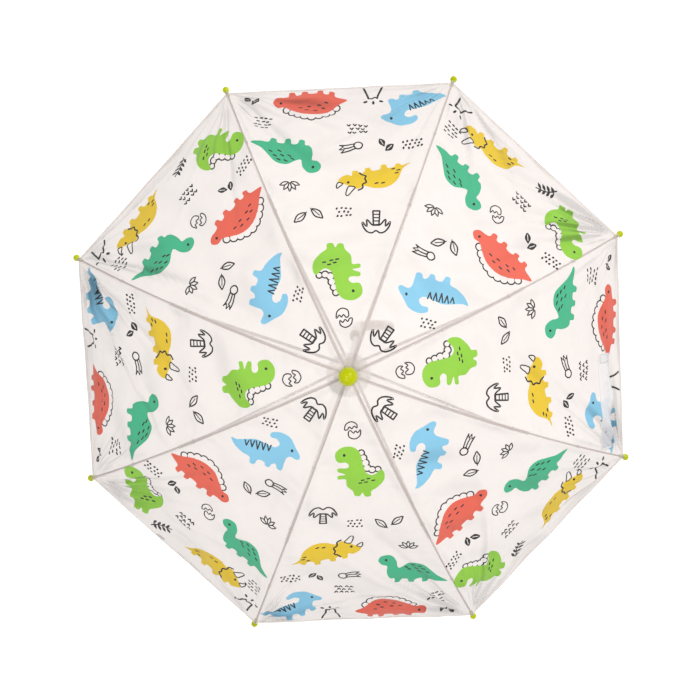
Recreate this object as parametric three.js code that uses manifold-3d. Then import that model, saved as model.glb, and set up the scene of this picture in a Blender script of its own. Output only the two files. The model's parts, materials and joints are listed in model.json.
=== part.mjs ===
// A children's stick umbrella, open, with eight ribs, ball tips and a hooked handle.
// Millimetres, +Z up along the shaft. The origin is on the shaft's axis, at the middle of the hand grip.
// Rib 1 stands 22.5 degrees anticlockwise from +X, and the others follow every 45 degrees.
// Gore n is the cloth between rib n and rib n + 1. Its left half hangs from rib n, its right half
// from rib n + 1, and the two meet at the line where the cloth folds when the umbrella closes.

import * as THREE from "three";
import { mergeVertices } from "three/addons/utils/BufferGeometryUtils.js";
import Module from "manifold-3d";

const wasm = await Module();
wasm.setup();

// ---- Driving dimensions ----

const RIB_COUNT = 8;
const TIP_RADIUS = 385; // shaft axis to the centre of a ball tip
const HINGE_RADIUS = 9; // shaft axis to the wire rings that the ribs and stretchers turn on
const CROWN_Z = 490; // height of the crown's wire ring
const RIB_START_SLOPE = THREE.MathUtils.degToRad(2); // below the horizontal, at the crown
const RIB_END_SLOPE = THREE.MathUtils.degToRad(46); // below the horizontal, at the tip
const RIB_PITCH = (2 * Math.PI) / RIB_COUNT;
const CLOSED_TIP_RADIUS = 18; // shaft axis to the centre of a ball tip, with the umbrella folded
const CLEARANCE = 0.3; // between pieces that touch
const OVERLAP = 1; // how far a cutting block runs past the face it cuts

const SHAFT_RADIUS = 4;
const SHAFT_WALL = 0.6;
const SHAFT_BOTTOM_Z = -4;
const SHAFT_TOP_Z = CROWN_Z + 16;

const CHANNEL_HALF_WIDTH = 1.9; // the steel channel of a rib or a stretcher
const CHANNEL_WALL = 0.5;
const CHANNEL_LEG = 1.5; // how far the legs reach below the centreline
const CHANNEL_START = 4; // along the rib, from the crown's ring
const CHANNEL_END = 237;
const BLADE_THICKNESS = 1.6; // flattened ends and lugs
const BLADE_LENGTH = 14;
const EYE_RADIUS = 1.9;
const EYE_HOLE = 1.0;

const PIVOT_ALONG = 184.6; // along the rib, from the crown's ring to the stretcher's rivet
const PIVOT_DROP = 5; // from the rib's centreline down to the rivet
const RIVET_RADIUS = 0.8;
const RIVET_HEAD = 0.4; // how far the rivet stands out of the stretcher on each side
const FORK_LENGTH = 5; // open end of the stretcher, where the lug stands between its sides
const FORK_OVERHANG = 2;

const ROD_RADIUS = 1.1; // fibreglass rod at the outer end of each rib
const ROD_START = 198;
const ROD_END_GAP = 1; // from the rod's end to the ball's centre
const TIP_BALL_RADIUS = 4.5;
const TIP_NECK_RADIUS = 2.6;
const TIP_NECK_LENGTH = 13; // from the ball's centre
const TIP_BORE_RADIUS = 1.45;
const TIP_BORE_END = -0.5; // along the tip, from the ball's centre

const WIRE_RADIUS = 0.6;
const NOTCH_RADIUS = 12; // slotted discs that hold the wire rings
const NOTCH_HALF_HEIGHT = 1.9;
const SLOT_WIDTH = 2.6;
const SLEEVE_RADIUS = 6.2;
const CROWN_SLEEVE_LENGTH = 14;
const RUNNER_SLEEVE_UP = 6;
const RUNNER_SLEEVE_DOWN = 40;
const RUNNER_BORE_RADIUS = 4.4;
const SLOT_FLOOR = 0.2; // from the sleeve to the floor of a slot
const CROWN_SLEEVE_UP = 2;

const FINIAL_BALL_RADIUS = 11.75;
const FINIAL_BALL_Z = CROWN_Z + 18;
const FINIAL_NECK_RADIUS = 7.2;
const FINIAL_BASE_Z = CROWN_Z + 5.1;

const CLOTH_UNDER = 3.5; // cloth's underside above the ribs' centreline
const CLOTH_THICKNESS = 1.2;
const CLOTH_INNER_ALONG = -3.8; // along the rib's curve, where the hole round the shaft starts
const CLOTH_TIP_GAP = 11; // from the ball's centre to the corner of the cloth
const CLOTH_SAG = 6; // how far the middle of a gore hangs under the line from rib to rib
const CLOTH_SAG_START = 0.1; // share of the rib's length that stays taut beside the crown
const PATCH_UNDER = 2.2; // the reinforcing patch between crown and cloth
const PATCH_THICKNESS = 0.4;
const PATCH_RADIUS = 27;

const STRAP_WIDTH = 23;
const STRAP_THICKNESS = 0.8;
const STRAP_FROM_HEM = 23; // from the hem to the strap's near edge
const STRAP_START = 0.05; // share of the half gore's width, from the rib
const STRAP_END = 0.97;
const STRAP_GORE = 8;

const LABEL_GORE = 5;
const LABEL_WIDTH = 12;
const LABEL_LENGTH = 9;
const LABEL_THICKNESS = 0.6;
const LABEL_SHARE = 0.84; // share of the half gore's width, from the rib
const LABEL_HEM = 2; // from the hem to the line where the label is sewn in

const CATCH_THICKNESS = 1.8;
const CATCH_REACH = 6.6; // shaft axis to the nose of a spring catch
const CATCH_NOSE = 12;
const CATCH_STRIP = 24;
const CATCH_INSIDE = 1; // shaft axis to the strip's inner and outer face
const CATCH_OUTSIDE = 2.1;
const CATCH_GAP = 0.4; // between a catch and the runner or its slot

const HANDLE_RADIUS = 8;
const HANDLE_TOP_Z = 62;
const HOOK_RADIUS = 25; // of the hook's centreline
const HOOK_CENTRE_Z = -67;
const HOOK_END_RISE = 15;
const COLLAR_RADIUS = 9.5;
const COLLAR_HEIGHT = 12;
const COLLAR_FLARE = 6; // cone from the grip up to the collar
const COLLAR_BEVEL = 2;

const CIRCLE_SIDES = 16;
const SMALL_CIRCLE_SIDES = 8;

// ---- Materials ----

function plainMaterial(color, roughness, metalness = 0) {
  return new THREE.MeshStandardMaterial({ color, roughness, metalness });
}

const clothWhite = plainMaterial(0xf3efec, 0.8);
const webbingWhite = plainMaterial(0xf6f6f8, 0.9);
const limePlastic = plainMaterial(0xc8dc1e, 0.2);
const whitePlastic = plainMaterial(0xf0f0ee, 0.4);
const steel = plainMaterial(0xb9bcc0, 0.35, 1);
const fibreglass = plainMaterial(0xd9d9d4, 0.45);

// ---- The rib's curve: an arc that leaves the crown almost level and steepens to the tip ----

const arcRadius = (TIP_RADIUS - HINGE_RADIUS) / (Math.sin(RIB_END_SLOPE) - Math.sin(RIB_START_SLOPE));
const ribLength = arcRadius * (RIB_END_SLOPE - RIB_START_SLOPE);

/** Point of the rib's plane, a given length along the rib and a given height above its centreline. */
function ribPoint(along, above = 0) {
  const slope = RIB_START_SLOPE + along / arcRadius;
  const radius = HINGE_RADIUS + arcRadius * (Math.sin(slope) - Math.sin(RIB_START_SLOPE));
  const drop = arcRadius * (Math.cos(RIB_START_SLOPE) - Math.cos(slope));
  return new THREE.Vector3(radius + above * Math.sin(slope), 0, CROWN_Z - drop + above * Math.cos(slope));
}

class RibCurve extends THREE.Curve {
  constructor(from, to) {
    super();
    this.from = from;
    this.to = to;
  }

  getPoint(share, target = new THREE.Vector3()) {
    return target.copy(ribPoint(this.from + (this.to - this.from) * share));
  }
}

// The crown and the runner stand the same distance from the shaft, and the stretcher is as long as the
// rib is from the crown to its rivet, so the two make an isosceles triangle that stays one as it folds.
const crownHinge = new THREE.Vector3(HINGE_RADIUS, 0, CROWN_Z);
const rivet = ribPoint(PIVOT_ALONG, -PIVOT_DROP);
const stretcherLength = rivet.distanceTo(crownHinge);
const runnerZ = 2 * rivet.z - CROWN_Z;
const runnerHinge = new THREE.Vector3(HINGE_RADIUS, 0, runnerZ);

// ---- Solids ----

function toManifold(geometry) {
  const plain = geometry.clone();
  plain.deleteAttribute("normal");
  plain.deleteAttribute("uv");
  const merged = mergeVertices(plain, 1e-4);
  const mesh = new wasm.Mesh({
    numProp: 3,
    vertProperties: new Float32Array(merged.attributes.position.array),
    triVerts: new Uint32Array(merged.index.array),
  });
  return new wasm.Manifold(mesh);
}

function fromManifold(solid) {
  const mesh = solid.getMesh();
  const geometry = new THREE.BufferGeometry();
  geometry.setAttribute("position", new THREE.BufferAttribute(mesh.vertProperties, 3));
  geometry.setIndex(new THREE.BufferAttribute(mesh.triVerts, 1));
  geometry.computeVertexNormals();
  return geometry;
}

/** Joins the first geometries and cuts the others from them. */
function shaped(joined, cut = []) {
  let solid = toManifold(joined[0]);
  for (const geometry of joined.slice(1)) solid = solid.add(toManifold(geometry));
  for (const geometry of cut) solid = solid.subtract(toManifold(geometry));
  return fromManifold(solid);
}

/** A solid of revolution about +Z from [radius, height] points that start and end on the axis, or close. */
function turned(points, sides = CIRCLE_SIDES) {
  const profile = points.map(([radius, height]) => new THREE.Vector2(radius, height));
  return new THREE.LatheGeometry(profile, sides).rotateX(Math.PI / 2);
}

/** A ring of revolution about +Z, with a round section. */
function ring(radius, sectionRadius, height, sides) {
  const points = [];
  for (let i = 0; i <= SMALL_CIRCLE_SIDES; i += 1) {
    const angle = (i * 2 * Math.PI) / SMALL_CIRCLE_SIDES;
    points.push([radius + sectionRadius * Math.cos(angle), height + sectionRadius * Math.sin(angle)]);
  }
  return turned(points, sides);
}

/** A flat plate in the rib's plane, centred on it. The outline is in X and Z. */
function plate(outline, thickness) {
  const geometry = new THREE.ExtrudeGeometry(outline, {
    depth: thickness,
    bevelEnabled: false,
    curveSegments: SMALL_CIRCLE_SIDES,
  });
  return geometry.rotateX(Math.PI / 2).translate(0, thickness / 2, 0);
}

function outlineOf(points) {
  return new THREE.Shape(points.map(([x, z]) => new THREE.Vector2(x, z)));
}

function disc(x, z, radius) {
  const shape = new THREE.Shape();
  shape.absarc(x, z, radius, 0, 2 * Math.PI);
  return shape;
}

/** A box between two corners. */
function block(low, high) {
  const size = high.map((value, i) => value - low[i]);
  const middle = high.map((value, i) => (value + low[i]) / 2);
  return new THREE.BoxGeometry(...size).translate(...middle);
}

/** A pin across the rib's plane. */
function crossPin(x, z, radius, length) {
  return new THREE.CylinderGeometry(radius, radius, length, SMALL_CIRCLE_SIDES).translate(x, 0, z);
}

/** A section swept along a curve of the rib's plane. The section's second number is its height. */
function swept(section, curve, steps) {
  const shape = outlineOf(section.map(([across, height]) => [across, -height]));
  return new THREE.ExtrudeGeometry(shape, { steps, extrudePath: curve, bevelEnabled: false });
}

/** A channel's section, with its back above and its legs below, or the other way up. */
function channelSection(backSide) {
  const outside = CHANNEL_HALF_WIDTH;
  const inside = outside - CHANNEL_WALL;
  const back = outside * backSide;
  const legs = -CHANNEL_LEG * backSide;
  return [
    [-outside, legs],
    [-outside, back],
    [outside, back],
    [outside, legs],
    [inside, legs],
    [inside, back - CHANNEL_WALL * backSide],
    [-inside, back - CHANNEL_WALL * backSide],
    [-inside, legs],
  ];
}

function roundSection(radius, sides) {
  return Array.from({ length: sides }, (_, i) => {
    const angle = ((i + 0.5) * 2 * Math.PI) / sides;
    return [radius * Math.cos(angle), radius * Math.sin(angle)];
  });
}

/**
 * A thin closed sheet between two surfaces. Each surface gives a point for two shares from 0 to 1,
 * and the upper one is on the side where first x second points.
 */
function sheetSolid(upper, lower, firstSteps, secondSteps) {
  const positions = [];
  const rows = secondSteps + 1;
  const perSide = (firstSteps + 1) * rows;
  for (const surface of [upper, lower]) {
    for (let i = 0; i <= firstSteps; i += 1) {
      for (let j = 0; j <= secondSteps; j += 1) {
        positions.push(...surface(i / firstSteps, j / secondSteps).toArray());
      }
    }
  }
  const index = [];
  const quad = (a, b, c, d) => index.push(a, b, c, a, c, d);
  const top = (i, j) => i * rows + j;
  const under = (i, j) => perSide + top(i, j);
  for (let i = 0; i < firstSteps; i += 1) {
    for (let j = 0; j < secondSteps; j += 1) {
      quad(top(i, j), top(i + 1, j), top(i + 1, j + 1), top(i, j + 1));
      quad(under(i, j), under(i, j + 1), under(i + 1, j + 1), under(i + 1, j));
    }
    quad(top(i, 0), under(i, 0), under(i + 1, 0), top(i + 1, 0));
    quad(top(i, secondSteps), top(i + 1, secondSteps), under(i + 1, secondSteps), under(i, secondSteps));
  }
  for (let j = 0; j < secondSteps; j += 1) {
    quad(top(0, j), top(0, j + 1), under(0, j + 1), under(0, j));
    quad(top(firstSteps, j), under(firstSteps, j), under(firstSteps, j + 1), top(firstSteps, j + 1));
  }
  const geometry = new THREE.BufferGeometry();
  geometry.setAttribute("position", new THREE.Float32BufferAttribute(positions, 3));
  geometry.setIndex(index);
  geometry.computeVertexNormals();
  return geometry;
}

// ---- Ribs and stretchers, built in the plane of +X and +Z ----

function bladeWithEye(from, to) {
  const edge = CHANNEL_HALF_WIDTH - CHANNEL_WALL / 2;
  const bar = outlineOf([
    [0, -edge],
    [BLADE_LENGTH, -CHANNEL_LEG],
    [BLADE_LENGTH, edge],
    [0, edge],
  ]);
  const geometry = shaped(
    [plate(disc(0, 0, EYE_RADIUS), BLADE_THICKNESS), plate(bar, BLADE_THICKNESS)],
    [crossPin(0, 0, EYE_HOLE, 2 * BLADE_THICKNESS)],
  );
  const direction = new THREE.Vector3().subVectors(to, from);
  return geometry.rotateY(-Math.atan2(direction.z, direction.x)).translate(from.x, 0, from.z);
}

/** The lug under the channel that the stretcher is riveted to. */
function rivetLug() {
  const slope = RIB_START_SLOPE + PIVOT_ALONG / arcRadius;
  const halfWidth = EYE_RADIUS;
  const bar = outlineOf([
    [-halfWidth, 0],
    [halfWidth, 0],
    [halfWidth, PIVOT_DROP + CHANNEL_HALF_WIDTH - CHANNEL_WALL / 2],
    [-halfWidth, PIVOT_DROP + CHANNEL_HALF_WIDTH - CHANNEL_WALL / 2],
  ]);
  const lug = shaped(
    [plate(disc(0, 0, EYE_RADIUS), BLADE_THICKNESS), plate(bar, BLADE_THICKNESS)],
    [crossPin(0, 0, RIVET_RADIUS + CLEARANCE, 2 * BLADE_THICKNESS)],
  );
  return lug.rotateY(slope).translate(rivet.x, 0, rivet.z);
}

function ribChannel() {
  const steps = 8;
  const channel = swept(channelSection(1), new RibCurve(CHANNEL_START, CHANNEL_END), steps);
  const eye = bladeWithEye(crownHinge, ribPoint(BLADE_LENGTH));
  return shaped([channel, eye, rivetLug()]);
}

function ribRod() {
  const steps = 9;
  const path = new RibCurve(ROD_START, ribLength - ROD_END_GAP);
  return swept(roundSection(ROD_RADIUS, SMALL_CIRCLE_SIDES), path, steps);
}

function ribTip() {
  const sides = 10;
  const arcSteps = 6;
  const neckAngle = Math.asin(TIP_NECK_RADIUS / TIP_BALL_RADIUS);
  const points = [
    [0, TIP_BORE_END],
    [TIP_BORE_RADIUS, TIP_BORE_END],
    [TIP_BORE_RADIUS, -TIP_NECK_LENGTH],
    [TIP_NECK_RADIUS, -TIP_NECK_LENGTH],
  ];
  for (let i = 0; i <= arcSteps; i += 1) {
    const angle = Math.PI - neckAngle - (i * (Math.PI - neckAngle)) / arcSteps;
    points.push([TIP_BALL_RADIUS * Math.sin(angle), TIP_BALL_RADIUS * Math.cos(angle)]);
  }
  points[points.length - 1][0] = 0;
  const centre = ribPoint(ribLength);
  return turned(points, sides)
    .rotateY(Math.PI / 2 + RIB_END_SLOPE)
    .translate(centre.x, 0, centre.z);
}

function stretcher() {
  const line = new THREE.LineCurve3(
    new THREE.Vector3(CHANNEL_START + 1, 0, 0),
    new THREE.Vector3(stretcherLength + FORK_OVERHANG, 0, 0),
  );
  const inside = CHANNEL_HALF_WIDTH - CHANNEL_WALL;
  const forkGap = block(
    [stretcherLength - FORK_LENGTH, -inside, -2 * CHANNEL_HALF_WIDTH],
    [stretcherLength + 2 * FORK_OVERHANG, inside, 2 * CHANNEL_HALF_WIDTH],
  );
  const rivetPin = crossPin(stretcherLength, 0, RIVET_RADIUS, 2 * (CHANNEL_HALF_WIDTH + RIVET_HEAD));
  const eye = bladeWithEye(new THREE.Vector3(), new THREE.Vector3(1, 0, 0));
  const channel = shaped([swept(channelSection(-1), line, 1), eye], [forkGap]);
  const direction = new THREE.Vector3().subVectors(rivet, runnerHinge);
  return shaped([channel, rivetPin])
    .rotateY(-Math.atan2(direction.z, direction.x))
    .translate(runnerHinge.x, 0, runnerHinge.z);
}

// ---- Crown, runner, wires, shaft and finial, on the shaft's axis ----

const octagonCorner = 1 / Math.cos(RIB_PITCH / 2);

/** A slotted disc on a sleeve, with a channel round it for the wire that the eyes turn on. */
function notchedSleeve(height, bottom, top, bore) {
  const low = height - NOTCH_HALF_HEIGHT;
  const high = height + NOTCH_HALF_HEIGHT;
  const body = turned([
    [bore, bottom],
    [SLEEVE_RADIUS, bottom],
    [SLEEVE_RADIUS, low],
    [NOTCH_RADIUS, low],
    [NOTCH_RADIUS, high],
    [SLEEVE_RADIUS, high],
    [SLEEVE_RADIUS, top],
    [bore, top],
    [bore, bottom],
  ]);
  const cuts = [ring(HINGE_RADIUS * octagonCorner, WIRE_RADIUS + CLEARANCE, height, RIB_COUNT)];
  for (let n = 0; n < RIB_COUNT; n += 1) {
    const slot = block(
      [SLEEVE_RADIUS + SLOT_FLOOR, -SLOT_WIDTH / 2, low - OVERLAP],
      [NOTCH_RADIUS + OVERLAP, SLOT_WIDTH / 2, high + OVERLAP],
    );
    cuts.push(slot.rotateZ((n + 0.5) * RIB_PITCH));
  }
  return shaped([body], cuts);
}

function crown() {
  const bottom = CROWN_Z - CROWN_SLEEVE_LENGTH;
  return notchedSleeve(CROWN_Z, bottom, CROWN_Z + CROWN_SLEEVE_UP, SHAFT_RADIUS + CLEARANCE);
}

function runner() {
  const bottom = runnerZ - RUNNER_SLEEVE_DOWN;
  return notchedSleeve(runnerZ, bottom, runnerZ + RUNNER_SLEEVE_UP, RUNNER_BORE_RADIUS);
}

function wireRing(height) {
  return ring(HINGE_RADIUS * octagonCorner, WIRE_RADIUS, height, RIB_COUNT);
}

// How far the ribs fold, and where the runner stands on the shaft when they are folded.
const tipChord = ribPoint(ribLength).sub(crownHinge);
const foldAngle =
  Math.atan2(tipChord.x, -tipChord.z) - Math.asin((CLOSED_TIP_RADIUS - HINGE_RADIUS) / tipChord.length());
const rivetAngle = Math.atan2(rivet.x - HINGE_RADIUS, CROWN_Z - rivet.z);
const closedRunnerZ = CROWN_Z - 2 * stretcherLength * Math.cos(rivetAngle - foldAngle);

// A spring catch is a strip inside the shaft with a nose through a slot. The upper one holds the open
// runner up, and the lower one holds the closed runner down, so its nose points the other way.
const upperNoseZ = runnerZ - RUNNER_SLEEVE_DOWN - CATCH_GAP;
const lowerNoseZ = closedRunnerZ + RUNNER_SLEEVE_UP + CATCH_GAP;

/** The nose's flat side is at noseZ and its body runs from there in the given direction. */
function springCatch(noseZ, direction) {
  const points = [
    [CATCH_INSIDE, 0],
    [CATCH_REACH, 0],
    [CATCH_OUTSIDE, CATCH_NOSE],
    [CATCH_OUTSIDE, CATCH_STRIP],
    [CATCH_INSIDE, CATCH_STRIP],
  ].map(([x, z]) => [x, noseZ + direction * z]);
  return plate(outlineOf(direction > 0 ? points : points.reverse()), CATCH_THICKNESS);
}

function shaft() {
  const inside = SHAFT_RADIUS - SHAFT_WALL;
  const tube = turned([
    [inside, SHAFT_BOTTOM_Z],
    [SHAFT_RADIUS, SHAFT_BOTTOM_Z],
    [SHAFT_RADIUS, SHAFT_TOP_Z],
    [inside, SHAFT_TOP_Z],
    [inside, SHAFT_BOTTOM_Z],
  ]);
  const slotHalfWidth = CATCH_THICKNESS / 2 + CATCH_GAP;
  const slotFor = (noseZ, direction) => {
    const ends = [noseZ - direction * CATCH_GAP, noseZ + direction * CATCH_NOSE];
    const low = [CATCH_INSIDE, -slotHalfWidth, Math.min(...ends)];
    return block(low, [SHAFT_RADIUS + OVERLAP, slotHalfWidth, Math.max(...ends)]);
  };
  return shaped([tube], [slotFor(upperNoseZ, -1), slotFor(lowerNoseZ, 1)]);
}

function finial() {
  const boreRadius = SHAFT_RADIUS + CLEARANCE;
  const arcSteps = 10;
  const neckAngle = Math.asin(FINIAL_NECK_RADIUS / FINIAL_BALL_RADIUS);
  const points = [
    [0, SHAFT_TOP_Z + CLEARANCE],
    [boreRadius, SHAFT_TOP_Z + CLEARANCE],
    [boreRadius, FINIAL_BASE_Z],
    [FINIAL_NECK_RADIUS, FINIAL_BASE_Z],
  ];
  for (let i = 0; i <= arcSteps; i += 1) {
    const angle = (Math.PI - neckAngle) * (1 - i / arcSteps);
    points.push([
      FINIAL_BALL_RADIUS * Math.sin(angle),
      FINIAL_BALL_Z + FINIAL_BALL_RADIUS * Math.cos(angle),
    ]);
  }
  points[points.length - 1][0] = 0;
  return turned(points);
}

// ---- Handle: a straight grip with a collar above and a hook below ----

class HookPath extends THREE.CurvePath {
  constructor(top) {
    super();
    const end = 2 * HOOK_RADIUS;
    const bottomZ = HOOK_CENTRE_Z;
    this.add(new THREE.LineCurve3(new THREE.Vector3(0, 0, top), new THREE.Vector3(0, 0, bottomZ)));
    this.add(new HookArc());
    this.add(
      new THREE.LineCurve3(
        new THREE.Vector3(end, 0, bottomZ),
        new THREE.Vector3(end, 0, bottomZ + HOOK_END_RISE),
      ),
    );
  }
}

class HookArc extends THREE.Curve {
  getPoint(share, target = new THREE.Vector3()) {
    const angle = Math.PI * (1 + share);
    return target.set(
      HOOK_RADIUS * (1 + Math.cos(angle)),
      0,
      HOOK_CENTRE_Z + HOOK_RADIUS * Math.sin(angle),
    );
  }
}

function handle() {
  const steps = 30;
  const sides = 12;
  const grip = swept(roundSection(HANDLE_RADIUS, sides), new HookPath(HANDLE_TOP_Z - OVERLAP), steps);
  const roundEnd = new THREE.SphereGeometry(HANDLE_RADIUS * Math.cos(Math.PI / sides), sides, 8)
    .rotateX(Math.PI / 2)
    .translate(2 * HOOK_RADIUS, 0, HOOK_CENTRE_Z + HOOK_END_RISE);
  const collar = turned([
    [0, HANDLE_TOP_Z - COLLAR_HEIGHT - COLLAR_FLARE],
    [HANDLE_RADIUS - CLEARANCE, HANDLE_TOP_Z - COLLAR_HEIGHT - COLLAR_FLARE],
    [COLLAR_RADIUS, HANDLE_TOP_Z - COLLAR_HEIGHT],
    [COLLAR_RADIUS, HANDLE_TOP_Z - COLLAR_BEVEL],
    [COLLAR_RADIUS - COLLAR_BEVEL, HANDLE_TOP_Z],
    [0, HANDLE_TOP_Z],
  ]);
  const bore = turned([
    [0, SHAFT_BOTTOM_Z - CLEARANCE],
    [SHAFT_RADIUS + CLEARANCE, SHAFT_BOTTOM_Z - CLEARANCE],
    [SHAFT_RADIUS + CLEARANCE, HANDLE_TOP_Z + OVERLAP],
    [0, HANDLE_TOP_Z + OVERLAP],
  ]);
  return shaped([grip, roundEnd, collar], [bore]);
}

// ---- Cloth: each gore is stretched from rib to rib ----

const clothEnd = ribLength - CLOTH_TIP_GAP;

/**
 * Point of a half gore: a length along the rib's curve, a share of the way from the rib to the gore's
 * middle, and a height over the ribs' centreline. The half lies on the side that side says, 1 or -1.
 */
function clothPoint(along, share, above, side) {
  const onRib = ribPoint(along, above);
  const middleAngle = (side * RIB_PITCH) / 2;
  const middleRadius = onRib.x * Math.cos(RIB_PITCH / 2);
  const middle = new THREE.Vector3(
    middleRadius * Math.cos(middleAngle),
    middleRadius * Math.sin(middleAngle),
    onRib.z,
  );
  const reach = Math.max(0, along / ribLength - CLOTH_SAG_START) / (1 - CLOTH_SAG_START);
  const sag = CLOTH_SAG * Math.sin(Math.PI * Math.min(1, reach)) ** 2 * (1 - (1 - share) ** 2);
  return onRib.lerp(middle, share).add(new THREE.Vector3(0, 0, -sag));
}

/** Keeps half a clearance to the seam at the rib and to the fold at the gore's middle, at any width. */
function clearShare(share, along) {
  const halfWidth = Math.max(1, ribPoint(along).x * Math.sin(RIB_PITCH / 2));
  const margin = CLEARANCE / 2 / halfWidth;
  return margin + share * (1 - 2 * margin);
}

function halfGore(side) {
  const alongSteps = 8;
  const acrossSteps = 3;
  const surface = (above) => (first, second) => {
    const along = CLOTH_INNER_ALONG + (clothEnd - CLOTH_INNER_ALONG) * first;
    const share = side > 0 ? second : 1 - second;
    return clothPoint(along, clearShare(share, along), above, side);
  };
  return sheetSolid(surface(CLOTH_UNDER + CLOTH_THICKNESS), surface(CLOTH_UNDER), alongSteps, acrossSteps);
}

/** The reinforcing patch is an octagon with its corners on the ribs, so it lies along the gores. */
function crownPatch() {
  const alongs = [CLOTH_INNER_ALONG, (PATCH_RADIUS - HINGE_RADIUS) / 2, PATCH_RADIUS - HINGE_RADIUS];
  const under = alongs.map((along) => ribPoint(along, PATCH_UNDER));
  const over = alongs.map((along) => ribPoint(along, PATCH_UNDER + PATCH_THICKNESS)).reverse();
  const points = [...under, ...over, under[0]].map((point) => [point.x, point.z]);
  return turned(points, RIB_COUNT).rotateZ(RIB_PITCH / 2);
}

/** The tie strap lies on top of the cloth, sewn in beside the rib and running along the hem. */
function tieStrap() {
  const side = 1;
  const acrossSteps = 6;
  const rest = CLOTH_UNDER + CLOTH_THICKNESS + CLEARANCE;
  const surface = (above) => (first, second) => {
    const along = clothEnd - STRAP_FROM_HEM - STRAP_WIDTH * (1 - first);
    const share = STRAP_START + (STRAP_END - STRAP_START) * second;
    return clothPoint(along, share, above, side);
  };
  return sheetSolid(surface(rest + STRAP_THICKNESS), surface(rest), 1, acrossSteps);
}

/** A small blank care label hangs inside the hem. */
function careLabel() {
  const top = clothPoint(clothEnd - LABEL_HEM, LABEL_SHARE, CLOTH_UNDER - CLEARANCE, 1);
  const geometry = block(
    [-LABEL_THICKNESS, -LABEL_WIDTH / 2, -LABEL_LENGTH - LABEL_THICKNESS],
    [0, LABEL_WIDTH / 2, -LABEL_THICKNESS],
  );
  return geometry.rotateZ(RIB_PITCH / 2).translate(top.x, top.y, top.z);
}

// ---- The umbrella ----

const umbrella = new THREE.Group();

function addPiece(name, geometry, material, parent = umbrella) {
  const mesh = new THREE.Mesh(geometry, material);
  mesh.name = name;
  parent.add(mesh);
}

function groupAtRib(number) {
  const group = new THREE.Group();
  group.rotation.z = (number - 0.5) * RIB_PITCH;
  umbrella.add(group);
  return group;
}

addPiece("shaft", shaft(), steel);
addPiece("crown", crown(), whitePlastic);
addPiece("crown_wire", wireRing(CROWN_Z), steel);
addPiece("crown_patch", crownPatch(), clothWhite);
addPiece("finial", finial(), limePlastic);
addPiece("handle", handle(), whitePlastic);
addPiece("runner", runner(), whitePlastic);
addPiece("runner_wire", wireRing(runnerZ), steel);
addPiece("upper_catch", springCatch(upperNoseZ, -1), steel);
addPiece("lower_catch", springCatch(lowerNoseZ, 1), steel);

for (let number = 1; number <= RIB_COUNT; number += 1) {
  const group = groupAtRib(number);
  const before = number === 1 ? RIB_COUNT : number - 1;
  addPiece(`rib_channel_${number}`, ribChannel(), steel, group);
  addPiece(`rib_rod_${number}`, ribRod(), fibreglass, group);
  addPiece(`rib_tip_${number}`, ribTip(), limePlastic, group);
  addPiece(`stretcher_${number}`, stretcher(), steel, group);
  addPiece(`gore_${number}_left`, halfGore(1), clothWhite, group);
  addPiece(`gore_${before}_right`, halfGore(-1), clothWhite, group);
  if (number === STRAP_GORE) addPiece("tie_strap", tieStrap(), webbingWhite, group);
  if (number === LABEL_GORE) addPiece("care_label", careLabel(), webbingWhite, group);
}

export default umbrella;
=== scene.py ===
"""A children's stick umbrella, open: the looks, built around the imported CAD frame.

Lengths in the constants and in the shape functions are millimetres, and add_piece() turns them into
metres. Rib n stands at 22.5 + 45 (n - 1) degrees round +Z, and gore n lies between rib n and rib n + 1.
A gore's cloth is laid out flat, "across" its middle line and "along" it from the crown, and then goes
onto the curved surface between two ribs. Its left half hangs from rib n and its right half from the next.
"""

import json
import math

import bmesh
import bpy
import numpy as np
from mathutils import Matrix, Vector
from mathutils.geometry import delaunay_2d_cdt


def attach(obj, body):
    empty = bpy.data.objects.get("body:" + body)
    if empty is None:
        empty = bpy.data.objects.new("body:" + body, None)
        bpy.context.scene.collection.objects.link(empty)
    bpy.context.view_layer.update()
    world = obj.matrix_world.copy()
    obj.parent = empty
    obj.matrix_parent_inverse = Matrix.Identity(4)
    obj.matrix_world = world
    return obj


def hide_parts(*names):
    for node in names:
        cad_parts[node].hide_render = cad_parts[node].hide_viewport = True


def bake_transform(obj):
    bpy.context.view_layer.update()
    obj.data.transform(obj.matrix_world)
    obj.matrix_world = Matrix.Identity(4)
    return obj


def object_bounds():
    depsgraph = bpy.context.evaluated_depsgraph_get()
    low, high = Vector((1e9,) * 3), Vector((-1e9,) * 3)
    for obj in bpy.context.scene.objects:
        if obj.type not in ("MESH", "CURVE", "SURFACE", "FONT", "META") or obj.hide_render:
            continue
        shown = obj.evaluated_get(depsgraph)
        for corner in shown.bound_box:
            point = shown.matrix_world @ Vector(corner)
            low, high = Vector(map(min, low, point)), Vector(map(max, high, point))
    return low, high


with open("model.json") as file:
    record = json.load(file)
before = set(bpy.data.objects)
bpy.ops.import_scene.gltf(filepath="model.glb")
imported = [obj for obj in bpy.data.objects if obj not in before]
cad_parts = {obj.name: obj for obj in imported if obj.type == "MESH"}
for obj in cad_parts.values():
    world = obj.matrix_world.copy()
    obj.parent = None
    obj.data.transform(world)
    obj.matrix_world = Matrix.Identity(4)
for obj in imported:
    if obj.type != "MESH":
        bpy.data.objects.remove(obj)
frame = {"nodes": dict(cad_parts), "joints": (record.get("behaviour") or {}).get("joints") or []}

cad_low, cad_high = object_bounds()

# ---- Driving dimensions, in millimetres; the rib's slopes and pivot match the CAD ----

MM = 0.001
RIB_COUNT = 8
PITCH = 2 * math.pi / RIB_COUNT
HALF_PITCH = PITCH / 2
RIB_START_SLOPE = math.radians(2)
RIB_END_SLOPE = math.radians(46)
TIP_RADIUS = 385.0

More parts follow.
